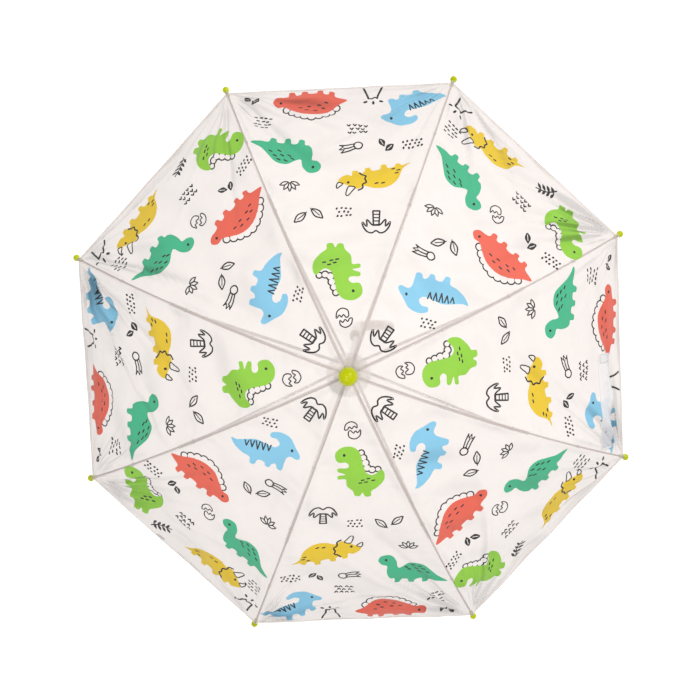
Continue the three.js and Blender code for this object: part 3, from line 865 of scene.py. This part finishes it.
def horned():
    body = [
        (-47, -12), (-36, -6), (-27, 8), (-12, 16), (4, 15), (15, 10), (23, 12), (31, 9), (38, 2),
        (46, -2), (43, -9), (34, -12), (28, -9), (26, -15), (20, -15), (18, -10), (12, -11), (10, -16),
        (4, -16), (2, -11), (-8, -11), (-10, -17), (-16, -17), (-18, -11), (-26, -11), (-29, -15),
        (-34, -14), (-36, -11),
    ]
    shape = filled("yellow", body)
    frill = [(24, 14), (18, 12), (17, 7), (12, 5), (13, 0), (11, -4), (15, -7), (18, -11)]
    shape += line(*frill)
    shape += outlined([(27, 9), (31, 13), (37, 18), (40, 17), (38, 11), (34, 6)], width=1.6)
    shape += outlined([(41, 0), (45, 3), (49, 5), (49, 1), (46, -3)], width=1.6)
    shape += eye(34, 0)
    return shape + marks([(-8, 10), (0, 9), (-30, -5), (-24, -8), (-27, -1)], 3.8, 6)


def palm():
    trunk = [(-3.4, 3), (3.4, 3), (4.2, -15), (-4.2, -15)]
    shape = straight(*trunk, trunk[0])
    for height in (-2, -6.3, -10.6):
        shape += straight((-3.8, height), (3.8, height), width=1.6)
    fronds = [(5, 14), (11, 12), (16, 5), (17, -1), (11.5, 5), (11.5, -4), (5, 3)]
    return shape + outlined([(0, 11), *fronds, (0, 3.5), *[(-x, y) for x, y in reversed(fronds)]])


def cracked_egg():
    top = [(-10, 2), (-8, 10), (0, 14), (7, 10), (7, 4), (3.5, 7), (0, 3), (-3.5, 6), (-6, 2)]
    bottom = [(-5, -2), (-1.5, 0), (2, -4), (5, -0.5), (8, -3.5), (12, 1), (11, -8), (4, -13), (-4, -10)]
    shape = outlined(top, width=1.8) + outlined(bottom, width=1.8)
    return moved(shape, size=0.87)


def comet():
    shape = outlined([(-15, 0), (-12, 4.5), (-7, 4.5), (-4, 0), (-7, -4.5), (-12, -4.5)], width=1.9)
    for height, end in ((3.5, 14), (0.2, 9), (-3.5, 13)):
        shape += line((-5, height), (end / 3, 1.2 * height + 0.8), (end, 1.4 * height), width=1.8)
    return shape + straight((14, 5), (9, 2), (15, 0.5), (9, -2.2), (13, -5), width=1.4)


def leaf(length, width):
    """Pointed at both ends."""
    reach = length / 2
    side = [(0.7 * reach, 0.22 * width), (0.15 * reach, 0.5 * width), (-0.45 * reach, 0.4 * width)]
    back = [(x, -y) for x, y in reversed(side)]
    return [(reach, 0), *side, (-reach, 0), *back]


def moved(shapes, x=0.0, y=0.0, turn=0.0, size=1.0):
    spin = turn_matrix(turn) * size
    return [(colour, np.asarray(points) @ spin + (x, y)) for colour, points in shapes]


def open_leaves():
    one = outlined(leaf(18, 8.5), width=1.9) + line((-11, 0), (-5, 0.3), (4, 0), width=1.3)
    return moved(one, -11, -2, 138) + moved(one, 10, 3, 40)


def dark_leaves():
    one = filled("ink", leaf(14, 8)) + [("cloth", ribbon([(-4, 0), (3.2, 0)], 0.9))]
    return moved(one, -4, 3, 40) + moved(one, 5, -4, 115)


def tuft():
    """Blades of grass that fan out."""
    shape = []
    blade = outlined(leaf(11, 4.2), width=1.6)
    out = 7.5
    for i in range(5):
        turn = 158 - 34 * i
        x, y = (out * math.cos(math.radians(turn)), out * math.sin(math.radians(turn)))
        shape += moved(blade, x, y - 4, turn)
    return shape


def fern():
    shape = line((-15, -4), (0, 1), (15, 0), width=1.8)
    blade = filled("ink", leaf(10, 3.8), steps=3)
    for i in range(4):
        x = -12 + 6.4 * i
        shape += moved(blade, x + 2.4, 3.8, 55)
        shape += moved(blade, x + 2.8, -3.8, -55)
    return shape


def spread(columns, rows, step, one, sway=9.0):
    """Copies of a small shape in staggered rows, each turned a little."""
    shape = []
    for row in range(rows):
        for column in range(columns - row % 2):
            x = (column - (columns - 1 - row % 2) / 2) * step
            y = (row - (rows - 1) / 2) * step * 0.8
            stray = 0.1 * step
            x += stray * math.sin(7 * row + 3 * column)
            y += stray * math.cos(5 * row + 11 * column)
            shape += moved(one, x, y, sway * math.sin(3 * row + 5 * column))
    return shape


def dots():
    return spread(4, 3, 5.6, oval("ink", 0, 0, 3.5, 2.6, turn=35, sides=8), sway=25)


def ticks():
    tick = straight((-2, -1.3), (0, 1.2), (2, -1.3), width=1.9)
    return spread(4, 3, 7.0, tick)


def dashes():
    return spread(4, 4, 6.2, straight((-1.5, 0), (1.5, 0.2), width=2.0))


def seeds():
    return spread(5, 3, 5.8, oval("ink", 0, 0, 3.9, 2.8, turn=50, sides=8), sway=25)


def volcano():
    shape = line((-12, -14), (-7, -3), (-5, 5), width=2.6) + line((12, -14), (8, -3), (6, 5), width=2.6)
    shape += line((-5, 5), (-2, 3), (1, 5), (6, 5), width=2.0)
    for x, y, turn in ((-10, 10, -20), (0, 12, 90), (10, 10, 20)):
        shape += moved(oval("ink", 0, 0, 6, 3.4), x, y, turn)
    return shape


# The two cuts of the print: what is drawn, how far across and along the gore, and its turn in degrees.
PRINT_A = [
    (cracked_egg, 1, 65, 0), (theropod, 6, 121, 0), (palm, -41, 183, -3), (dots, -2, 199, 0),
    (open_leaves, 42, 196, 0), (tuft, 64, 239, 0), (horned, -42, 244, 9), (comet, -13, 288, 14),
    (dark_leaves, -57, 290, 0), (seeds, -90, 291, 6), (long_necked, 68, 283, -6), (ticks, -22, 318, 0),
    (dashes, 98, 338, -8), (dark_leaves, 112, 372, 10), (plated, 38, 362, 0), (volcano, -43, 371, 0),
    (crested, -91, 354, 25),
]
PRINT_B = [
    (palm, -2, 57, 8), (dots, -30, 107, 30), (crested, -9, 141, 33), (comet, 31, 170, 18),
    (open_leaves, 17, 198, 10), (plated, -45, 235, 2), (tuft, 57, 222, 18), (long_necked, 60, 279, 4),
    (cracked_egg, -7, 279, 30), (ticks, -20, 317, 0), (dark_leaves, -61, 280, 20), (seeds, -96, 282, 10),
    (theropod, -88, 333, 24), (fern, -36, 362, 30), (horned, 49, 348, 8), (dashes, 105, 328, 0),
    (volcano, 116, 363, -12),
]


def inside(points, outline):
    """Which points an outline goes round."""
    x, y = points[:, 0], points[:, 1]
    within = np.zeros(len(points), bool)
    low, high = outline.min(axis=0), outline.max(axis=0)
    near = np.flatnonzero((x > low[0]) & (x < high[0]) & (y > low[1]) & (y < high[1]))
    for start, end in zip(outline, np.roll(outline, -1, axis=0)):
        if start[1] == end[1]:
            continue
        crosses = (start[1] > y[near]) != (end[1] > y[near])
        at = start[0] + (y[near] - start[1]) / (end[1] - start[1]) * (end[0] - start[0])
        within[near] ^= crosses & (x[near] < at)
    return within


SEAM_ROWS = (0.7, 1.6, 2.8)  # extra points this far from a seam, for its groove
GRID_FROM_SEAM = 3.5  # where the even grid of points ends
GRID_FROM_MIDDLE = 1.0
FINE_FROM_SEAM = 3.0
FINE_FROM_EDGE = 1.5  # from the hem and from the middle


def flat_print(layout):
    """Cuts a flat gore into triangles along its print: places, triangles, their colours and halves."""
    rows = int(FLAT_LENGTH / GRID_STEP)
    levels = np.linspace(0, FLAT_LENGTH, rows + 1)
    widths = half_width(levels)
    hem_steps = np.linspace(0, 1, int(HALF_HEM / GRID_STEP))[1:-1]
    outlines = []
    for side in (-1, 1):
        seam_line = np.stack([side * widths, -levels], axis=1)
        hem_line = np.stack([side * HALF_HEM * (1 - hem_steps), 0 * hem_steps - FLAT_LENGTH], axis=1)
        middle_line = np.stack([0 * levels, -levels], axis=1)[::-1]
        outlines.append(("cloth", np.concatenate([seam_line, hem_line, middle_line])))
    for draw, across, along, turn in layout:
        outlines += moved(draw(), across, -along, turn)
    places = []
    edges = []
    for _, points in outlines:
        first, count = len(places), len(points)
        edges += [(first + i, first + (i + 1) % count) for i in range(count)]
        places += points.tolist()
    for index, level in enumerate(levels[1:-1]):
        width = widths[index + 1]
        shift = GRID_STEP / 2 * (index % 2)
        for x in np.arange(-width + shift + GRID_STEP, width - GRID_FROM_SEAM, GRID_STEP):
            if abs(x) > GRID_FROM_MIDDLE:
                places.append((x, -level))
    for level in np.arange(FLAT_LENGTH - FINE_REACH, FLAT_LENGTH - FINE_FROM_EDGE, FINE_STEP):
        reach = math.sqrt(max(FINE_REACH**2 - (FLAT_LENGTH - level) ** 2, 0))
        width = float(half_width(level))
        for x in np.arange(max(HALF_HEM - reach, FINE_FROM_EDGE), width - FINE_FROM_SEAM, FINE_STEP):
            places += [(x, -level), (-x, -level)]
    for index, level in enumerate(levels[1:-1]):
        width = widths[index + 1]
        for inset in SEAM_ROWS:
            if width > 3 * inset:
                places += [(width - inset, -level), (inset - width, -level)]
    cut = delaunay_2d_cdt([Vector(place) for place in places], edges, [], 0, 1e-3, True)
    flat = np.array([tuple(point) for point in cut[0]])
    triangles = np.array(cut[2])
    centres = flat[triangles].mean(axis=1)
    left, right = (inside(centres, outline) for _, outline in outlines[:2])
    halves = np.where(left, -1, 0) + np.where(right, 1, 0)
    tints = np.zeros(len(triangles), int)
    for colour, points in outlines[2:]:
        tints[inside(centres, points)] = COLOURS.index(colour)
    return flat * (1, -1), triangles, tints, halves


def gore_cloth(gore, side, layout):
    """Half a gore's printed cloth."""
    flat, triangles, tints, halves = layout
    mine = np.flatnonzero(halves == side)
    used, faces = np.unique(triangles[mine], return_inverse=True)
    faces = faces.reshape(-1, 3)
    points, normals = gores[gore].place(flat[used, 0], flat[used, 1])
    materials = [print_materials[colour] for colour in COLOURS]
    piece = add_piece(half_name("cloth", gore, side), points, faces, materials, tints[mine])
    first = piece.data.polygons[0]
    if first.normal.dot(Vector(normals[faces[0][0]])) < 0:
        piece.data.flip_normals()
    piece.data.normals_split_custom_set_from_vertices(normals.tolist())
    paint_shade(piece, gores[gore].shade(flat[used, 0], flat[used, 1]))
    hang(piece, gore)
    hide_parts(half_name("gore", gore, side))


def strip(rows):
    """A closed strip through rows of points that lie round it, with its two ends filled."""
    count = len(rows[0])
    faces = []
    for i in range(len(rows)):
        j = (i + 1) % len(rows)
        for k in range(count - 1):
            faces.append([i * count + k, i * count + k + 1, j * count + k + 1, j * count + k])
    faces.append([i * count for i in range(len(rows))])
    faces.append([i * count + count - 1 for i in range(len(rows))][::-1])
    return np.concatenate(rows), faces


THREAD_WIDTH = 0.5
THREAD_HEIGHT = 0.22
STITCH_SHAPE = ((0, 0.3, 0.1), (0.25, 0.9, 0.9), (0.75, 0.9, 0.9), (1, 0.3, 0.1))  # share, width, height
STITCH_SECTION = ((-1, 0), (-0.6, 0.85), (0.6, 0.85), (1, 0))


def stitches(gore, path, above):
    """Stitches along a line of (across, along) flat places, each a small pillow of thread."""
    path = np.asarray(path, float)
    lengths = run_lengths(path)
    count = int(lengths[-1] / (STITCH_LENGTH + STITCH_GAP))
    shapes = []
    for i in range(count):
        start = i * (STITCH_LENGTH + STITCH_GAP) + STITCH_GAP
        ends = [
            np.array([np.interp(start + run, lengths, path[:, k]) for k in (0, 1)])
            for run in (0, STITCH_LENGTH)
        ]
        along = (ends[1] - ends[0]) / STITCH_LENGTH
        beside = np.array([-along[1], along[0]])
        flats = []
        lifts = []
        for share, wide, tall in STITCH_SHAPE:
            centre = ends[0] + along * STITCH_LENGTH * share
            for sideways, up in STITCH_SECTION:
                flats.append(centre + beside * sideways * wide * THREAD_WIDTH / 2)
                lifts.append(above + up * tall * THREAD_HEIGHT)
        flats = np.array(flats)
        placed, _ = gores[gore].place(flats[:, 0], flats[:, 1], np.array(lifts))
        faces = ring_faces(len(STITCH_SHAPE), len(STITCH_SECTION))
        faces.append([0, 1, 2, 3])
        faces.append([15, 14, 13, 12])
        shapes.append((placed, faces))
    return joined(shapes)


def hem(gore, side):
    """The edge is folded under and stitched down."""
    across = side * np.linspace(0, HALF_HEM, int(HALF_HEM / GRID_STEP) + 1)
    edge = np.full(len(across), FLAT_LENGTH)
    layer = CLOTH_LAYER
    profile = [
        (-HEM_WIDTH, -layer), (-HEM_WIDTH, -2 * layer), (-1.0, -2.4 * layer), (-0.1, -2 * layer),
        (0.25, -layer), (0.2, 0.05), (-0.3, 0.28), (-0.9, 0.12), (-0.6, -0.4 * layer), (-1.2, -layer),
    ]
    folded = strip([gores[gore].place(across, edge + step, above)[0] for step, above in profile])
    path = np.stack([across, np.full(len(across), FLAT_LENGTH - STITCH_INSET)], axis=1)
    sewn = stitches(gore, path, 0.04)
    tints = [0] * len(folded[1]) + [1] * len(sewn[1])
    materials = [hem_cloth, sewing_thread]
    piece = solid(half_name("hem", gore, side), joined([folded, sewn]), materials, tints)
    return hang(piece, gore)


SEAM_START = 16.0
SEAM_END = 4.0  # from the hem
SEAM_LAYERS = ((0.2, 2.6, 0.35, 0.6), (0.2, 2.0, 0.7, 0.95))  # from, to, upper and lower face below


def seam(gore):
    """The two gores' edges are sewn together and lie folded to one side, under the cloth."""
    alongs = np.linspace(SEAM_START, FLAT_LENGTH - SEAM_END, 110)
    widths = half_width(alongs)
    shapes = []
    wander = 0.25 * np.sin(alongs / 9.0 + gore)
    for inner, outer, upper, lower in SEAM_LAYERS:
        rows = []
        for inset, below in ((inner, upper), (outer, upper), (outer, lower), (inner, lower)):
            edge = wander if inset == outer else 0
            rows.append(gores[gore].place(-(widths - inset - edge), alongs, -below)[0])
        shapes.append(strip(rows))
    piece = solid(f"seam_{gore}", joined(shapes), [seam_cloth])
    away = -(LIGHT_FROM[0] * math.cos(rib_angle(gore)) + LIGHT_FROM[1] * math.sin(rib_angle(gore)))
    paint_shade(piece, np.full(len(piece.data.vertices), SEAM_SHADE * max(0.0, away)))
    return hang(piece, gore)


PATCH_BELOW = 1.7  # the crown patch under the cloth
PATCH_OUTER = 27.0
PATCH_INNER = 6.0
PINKING = 0.5  # its zigzag edge
PINKING_TURNS = 32
GATHER = 0.12
GATHER_TURNS = 40


def rounded_sheet(top, bottom):
    """A closed thin body from two grids of points, rows x columns, with its rim closed by quads."""
    count_rows, count_columns = top.shape[:2]
    points = np.concatenate([top.reshape(-1, 3), bottom.reshape(-1, 3)])
    shift = count_rows * count_columns
    faces = []
    for i in range(count_rows - 1):
        for k in range(count_columns - 1):
            a = i * count_columns + k
            quad = [a, a + 1, a + count_columns + 1, a + count_columns]
            faces.append(quad)
            faces.append([shift + index for index in reversed(quad)])
    rim = list(range(count_columns))
    rim += [i * count_columns + count_columns - 1 for i in range(1, count_rows)]
    rim += [(count_rows - 1) * count_columns + k for k in range(count_columns - 2, -1, -1)]
    rim += [i * count_columns for i in range(count_rows - 2, 0, -1)]
    for start, end in zip(rim, rim[1:] + rim[:1]):
        faces.append([start, end, shift + end, shift + start])
    return points, faces


def crown_sector(gore, side):
    """The round patch that keeps the crown from rubbing the cloth, in one sector for each half gore."""
    turns = side * np.linspace(0.002, HALF_PITCH, 9)
    reaches = np.linspace(PATCH_INNER, PATCH_OUTER, 12)
    reach, turn = np.meshgrid(reaches, turns, indexing="ij")
    pinked = PINKING * np.cos(turn * PINKING_TURNS) * (reach > PATCH_OUTER - 0.1)
    along = np.interp((reach + pinked) * np.cos(turn) / math.cos(HALF_PITCH), rib_radii, flat_alongs)
    across = (reach + pinked) * np.sin(turn)
    gather = GATHER * np.sin(turn * GATHER_TURNS) * reach / PATCH_OUTER
    top, _ = gores[gore].place(across, along, gather - PATCH_BELOW)
    bottom, _ = gores[gore].place(across, along, gather - PATCH_BELOW - CLOTH_LAYER)
    piece = solid(half_name("crown_patch", gore, side), rounded_sheet(top, bottom), [patch_cloth])
    hang(piece, gore)
    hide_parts("crown_patch")


STRAP_LIFT = 0.5  # from the cloth to the strap's underside
STRAP_FOLD = 12.0  # the turned-in end
STRAP_WAVE = 0.35
STRAP_CROWN = 0.16  # how much lower its edges are than its middle
FASTENER_LENGTH = 30.0


def strap_body(start, end, inner, outer, low, high):
    """Part of the strap on gore STRAP_GORE: from start to end across it, between two places along it."""
    acrosses = np.linspace(start, end, max(6, int(abs(end - start) / 1.5)))
    alongs = np.linspace(inner, outer, 9)
    along, across = np.meshgrid(alongs, acrosses, indexing="ij")
    ripple = 0.6 * np.sin(across / 5.3 + 1) * (along - inner) / STRAP_WIDTH
    slack = STRAP_WAVE * (np.sin(across / 11.0) + ripple)
    edge = np.minimum(along - inner, outer - along) / 1.2
    crown = STRAP_CROWN * np.clip(edge, 0, 1)
    top, _ = gores[STRAP_GORE].place(across, along, high + slack + crown - STRAP_CROWN)
    bottom, _ = gores[STRAP_GORE].place(across, along, low + slack)
    return rounded_sheet(top, bottom)


def strap():
    """Webbing sewn in at the seam, with hook and loop at its end, that holds the furled canopy."""
    inner = FLAT_LENGTH - STRAP_FROM_HEM - STRAP_WIDTH
    outer = FLAT_LENGTH - STRAP_FROM_HEM
    width = float(half_width(inner + STRAP_WIDTH / 2))
    start = -width * (1 - STRAP_START)
    end = -width * (1 - STRAP_END)
    low = STRAP_LIFT
    high = low + STRAP_THICKNESS
    tape = strap_body(start, end, inner, outer, low, high)
    folded = strap_body(end - STRAP_FOLD, end - 0.4, inner + 0.4, outer - 0.4, high, high + 0.5)
    hooks = strap_body(start + 3, start + FASTENER_LENGTH, inner + 0.9, outer - 0.9, high, high + 0.6)
    shapes = [tape, folded, hooks]
    tints = [0] * len(tape[1]) + [0] * len(folded[1]) + [1] * len(hooks[1])
    for left, right, above in (
        (start + 4.5, start + FASTENER_LENGTH - 1.5, high + 0.55),
        (end - STRAP_FOLD + 1.2, end - 1.6, high + 0.45),
    ):
        corners = [(left, inner + 2), (right, inner + 2), (right, outer - 2), (left, outer - 2)]
        sewn = stitches(STRAP_GORE, corners + corners[:1], above)
        shapes.append(sewn)
        tints += [2] * len(sewn[1])
    piece = solid("strap_of_webbing", joined(shapes), [webbing, fleece, sewing_thread], tints)
    hang(piece, STRAP_GORE)
    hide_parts("tie_strap")


LABEL_GORE = 5
LABEL_ACROSS = 0.18  # the label's middle, as a share from the gore's middle to the seam
LABEL_WIDTH = 12.0
LABEL_DROP = 10.0
LABEL_FROM_EDGE = 9.0
LABEL_BELOW = 1.2
LABEL_TILT = 3.5  # how far out its free end stands
LABEL_THICKNESS = 0.35


def care_label():
    """A blank folded tape, caught in the hem's stitches and hanging from it."""
    middle = -HALF_HEM * LABEL_ACROSS
    across = np.linspace(middle - LABEL_WIDTH / 2, middle + LABEL_WIDTH / 2, 9)
    along = np.full(len(across), FLAT_LENGTH - LABEL_FROM_EDGE)
    placed, _ = gores[LABEL_GORE].place(across, along, -LABEL_BELOW)
    shares = np.linspace(0, 1, 10)
    outwards = np.array([math.cos(gore_angle(LABEL_GORE)), math.sin(gore_angle(LABEL_GORE)), 0])
    rows = []
    for share in shares:
        sideways = (LABEL_TILT * share + math.sin(3 * share)) * outwards
        rows.append(placed + sideways - np.array([0, 0, LABEL_DROP * share]))
    outer = np.array(rows)
    curl = 0.25 * np.sin(np.linspace(0, math.pi, 9))[None, :, None] * outwards
    outer += curl * shares[:, None, None]
    piece = solid("blank_label", rounded_sheet(outer, outer - LABEL_THICKNESS * outwards), [label_tape])
    hang(piece, LABEL_GORE)
    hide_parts("care_label")


layouts = [flat_print(PRINT_A), flat_print(PRINT_B)]
for gore_number in range(1, RIB_COUNT + 1):
    sewn_edge = seam(gore_number)
    for half in (-1, 1):
        edges = [hem(gore_number, half)]
        if half < 0:
            edges.append(sewn_edge)
        gore_cloth(gore_number, half, layouts[gore_number % 2])
        crown_sector(gore_number, half)
strap()
care_label()

# ---- Plastic and metal pieces ----


def moulded(name, shape, material, node, body):
    """A rigid piece that takes the place of one CAD node and rides on a body."""
    piece = solid(name, shape, [material])
    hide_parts(node)
    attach(piece, body)


def ball_on_neck(height, ball, neck, steps):
    """A ball's outline from where it leaves its neck to its top."""
    start = -math.degrees(math.acos(neck / ball))
    return arc_points((0, height), ball, start, 89.99, steps) + [(0, height + ball)]


FINIAL_RADIUS = 11.75
FINIAL_NECK = 7.2
FINIAL_BASE_Z = CROWN_Z + 5.1
FINIAL_BALL_Z = CROWN_Z + 18


def finial():
    neck, base = FINIAL_NECK, FINIAL_BASE_Z
    profile = [(0, base), (neck + 0.6, base), (neck + 1.0, base + 0.5), (neck, base + 1.3)]
    profile += ball_on_neck(FINIAL_BALL_Z, FINIAL_RADIUS, neck, 28)
    moulded("finial_ball", lathe(profile, 64), lime, "finial", "root")


TIP_BALL = 4.5
TIP_NECK = 2.6


def rib_tip(number):
    """A ball with a necked sleeve that goes over the rib's end. Its groove takes the thread."""
    neck = TIP_NECK
    profile = [(0, -12.4), (1.5, -12.4), (1.5, -13.0), (neck - 0.3, -13.0), (neck, -12.6), (neck, -7.5)]
    profile += [(neck - 0.4, -7.1), (neck - 0.4, -5.9), (neck, -5.4)]
    profile += ball_on_neck(0, TIP_BALL, neck, 18)
    points, faces = lathe(profile, 32)
    points = turned(points, math.pi / 2 + RIB_END_SLOPE, "Y")
    radius, height = rib_point(RIB_LENGTH)
    points = turned(points + np.array([float(radius), 0, float(height)]), rib_angle(number))
    shape = (points, faces)
    moulded(f"ball_tip_{number}", shape, lime, f"rib_tip_{number}", f"rib_{number}")


HANDLE_RADIUS = 8.0
HANDLE_TOP_Z = 62.0
HOOK_RADIUS = 25.0
HOOK_CENTRE_Z = -67.0
HOOK_END_Z = -52.0
COLLAR_RADIUS = 9.5
COLLAR_LENGTH = 12.0
SHAFT_HOLE = 4.35  # its radius in the collar's top
MOULD_LINE = 0.14  # how far it stands out


def handle():
    """A straight grip with a hook below, moulded in two halves, and a collar above."""
    path = []
    for height in np.linspace(HANDLE_TOP_Z - 1, HOOK_CENTRE_Z, 27)[:-1]:
        path.append((0, 0, height))
    for turn in np.linspace(math.pi, 2 * math.pi, 41)[:-1]:
        path.append((HOOK_RADIUS * (1 + math.cos(turn)), 0, HOOK_CENTRE_Z + HOOK_RADIUS * math.sin(turn)))
    for height in np.linspace(HOOK_CENTRE_Z, HOOK_END_Z, 5)[:-1]:
        path.append((2 * HOOK_RADIUS, 0, height))
    radii = [HANDLE_RADIUS] * len(path)
    for turn in np.linspace(0, math.pi / 2 - 0.03, 10):
        path.append((2 * HOOK_RADIUS, 0, HOOK_END_Z + HANDLE_RADIUS * math.sin(turn)))
        radii.append(HANDLE_RADIUS * math.cos(turn))
    near_line = np.radians([-7, -3.5, 0, 3.5, 7])
    front = np.radians(np.arange(15, 166, 7.5))
    back = np.radians(np.arange(195, 346, 7.5))
    turns = np.concatenate([near_line, front, near_line + math.pi, back])
    line_height = MOULD_LINE * (np.abs(np.sin(turns)) < 0.01)

    def section(i):
        reach = radii[i] + line_height * min(1, radii[i] / HANDLE_RADIUS)
        return np.stack([reach * np.cos(turns), reach * np.sin(turns)], axis=1)

    grip = sweep(path, [(0, 1, 0)] * len(path), section)
    low = HANDLE_TOP_Z - COLLAR_LENGTH
    top = HANDLE_TOP_Z
    wide = COLLAR_RADIUS
    profile = [(HANDLE_RADIUS - 0.4, low - 6), (HANDLE_RADIUS + 0.1, low - 5.9), (wide - 0.3, low - 0.6)]
    profile += [(wide, low), (wide, low + 2.6), (wide - 0.4, low + 3.0), (wide - 0.4, low + 3.8)]
    profile += [(wide, low + 4.2)]
    profile += arc_points((wide - 2, top - 2), 2, 0, 90, 6)
    profile += [(4.5, top), (SHAFT_HOLE, top - 0.2), (SHAFT_HOLE, top - 3), (HANDLE_RADIUS - 0.4, top - 3)]
    profile.append(profile[0])
    shape = joined([grip, lathe(profile, 64)])
    moulded("hook_grip", shape, handle_plastic, "handle", "root")


THREAD = 0.3
TIES = ((118, 2.5, 2.3), (214, 2.5, 2.3), (322, 1.7, 1.7))  # along the rib, to each side, below it
TIP_GROOVE_ALONG = RIB_LENGTH - 6.5
CORNER_ALONG = RIB_LENGTH - 12.2  # where the cloth's corner ends


def loop_of_thread(places):
    """Thread along a closed path."""
    path = curve(places, steps=3)
    path = np.concatenate([path, path[:2]])
    along = np.gradient(path, axis=0)
    across = np.cross(along, along.mean(axis=0) + (0.3, 0.2, 0.9))
    return sweep(path, across, lambda i: circle_section(THREAD, 6))


def at_rib(along, beside, above):
    radius, height = rib_point(along, above)
    return (float(radius), beside, float(height))


def rib_threads(number):
    """Ties that hold the seam to the rib, and the thread from the cloth's corner to the ball tip."""
    loops = []
    for along, half, below in TIES:
        turn = [(0.0, -1, -0.5), (0.2, -0.5, -below), (0.3, 0.5, -below), (0.2, 1, -0.5)]
        turn += [(0.0, 0.6, 3.2), (-0.1, -0.6, 3.2)]
        for shift in (-0.7, 0.0, 0.7):
            loops.append([at_rib(along + shift + step, side * half, above) for step, side, above in turn])
    groove = TIP_GROOVE_ALONG
    corner = CORNER_ALONG
    round_tip = 2.45
    angles = np.linspace(0, 2 * math.pi, 9)[:-1]
    for shift in (-0.35, 0.35):
        loops.append(
            [at_rib(groove + shift, round_tip * math.cos(a), round_tip * math.sin(a)) for a in angles]
        )
        over = [(groove, 3, 2.5), (corner, 4, 4.0), (corner - 0.5, 2, 4.3), (groove, 1.5, 2.8)]
        loops.append([at_rib(along, side * shift, above) for along, side, above in over])
    points, faces = joined([loop_of_thread(places) for places in loops])
    points = turned(points, rib_angle(number))
    piece = solid(f"rib_threads_{number}", (points, faces), [sewing_thread])
    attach(piece, f"rib_{number}")


finial()
handle()
for rib_number in range(1, RIB_COUNT + 1):
    rib_tip(rib_number)
    rib_threads(rib_number)

# The CAD nodes that stay, each with its material and how far its edges are rounded.
node_looks = {
    "shaft": (chrome, 0), "crown": (white_plastic, 0.3), "runner": (white_plastic, 0.3),
    "crown_wire": (wire_metal, 0), "runner_wire": (wire_metal, 0), "upper_catch": (wire_metal, 0.3),
    "lower_catch": (wire_metal, 0.3), "rib_channel": (rib_metal, 0.12), "stretcher": (rib_metal, 0.12),
    "rib_rod": (rod_resin, 0),
}
smoothing = smooth_shading()
for name, node in frame["nodes"].items():
    family = name if name in node_looks else name.rsplit("_", 1)[0]
    if family in node_looks:
        material, edge_width = node_looks[family]
        node.data.materials.clear()
        node.data.materials.append(material)
        soften(node, edge_width, smoothing)

# ---- Floor, light and camera: places in metres, power in watts ----

FLOOR_REACH = 60000.0  # in millimetres, so that its edge isn't seen from the side
FLOOR_GLOW = 0.97  # makes the floor white, and lights the canopy from below
WORLD_GLOW = 0.26
WARM = (1.0, 0.972, 0.95)
CAMERA_LENS = 78
CAMERA_SENSOR = 36
CAMERA_PLACE = (0.0584, 0.2418, 2.3081)
CAMERA_TURN = (-6.716, 1.437, -2.573)  # in degrees


def stage():
    nodes = Nodes("pale_floor")
    nodes.feed(nodes.shader, {"Base Color": (0.4, 0.4, 0.4, 1), "Roughness": 0.9})
    nodes.feed(nodes.shader, {"Emission Color": (1, 1, 1, 1), "Emission Strength": FLOOR_GLOW})
    level = cad_low[2] / MM - 1
    corners = [(x * FLOOR_REACH, y * FLOOR_REACH, level) for x, y in ((-1, -1), (1, -1), (1, 1), (-1, 1))]
    floor = add_piece("floor", corners, [[0, 1, 2, 3]], [nodes.material], smooth=False)


def lamp(name, place, aim, size, power, colour=(1, 1, 1)):
    data = bpy.data.lights.new(name, "AREA")
    data.shape = "DISK"
    data.size = size
    data.energy = power
    data.color = colour
    light = bpy.data.objects.new(name, data)
    bpy.context.scene.collection.objects.link(light)
    light.location = place
    light.rotation_euler = (Vector(aim) - Vector(place)).to_track_quat("-Z", "Y").to_euler()


def lights():
    world = bpy.data.worlds.new("studio")
    world.use_nodes = True
    background = world.node_tree.nodes["Background"]
    background.inputs["Color"].default_value = (1.0, 0.99, 0.985, 1)
    background.inputs["Strength"].default_value = WORLD_GLOW
    bpy.context.scene.world = world
    middle = (0, 0, CROWN_Z * MM)
    lamp("key_light", (1.3, 1.4, 2.4), middle, 0.45, 29, WARM)
    lamp("fill_light", (-1.0, -1.5, 2.5), middle, 0.9, 15, WARM)
    for side in (-1, 1):
        lamp(f"front_light_{side + 2}", (0.06 + 0.6 * side, 0.1, 2.3), middle, 0.13, 4)
    bpy.context.scene.view_settings.view_transform = "Standard"


def camera():
    data = bpy.data.cameras.new("camera")
    data.lens = CAMERA_LENS
    data.sensor_width = CAMERA_SENSOR
    viewer = bpy.data.objects.new("camera", data)
    bpy.context.scene.collection.objects.link(viewer)
    viewer.location = CAMERA_PLACE
    viewer.rotation_euler = [math.radians(angle) for angle in CAMERA_TURN]
    bpy.context.scene.camera = viewer


stage()
lights()
camera()

bpy.context.view_layer.update()
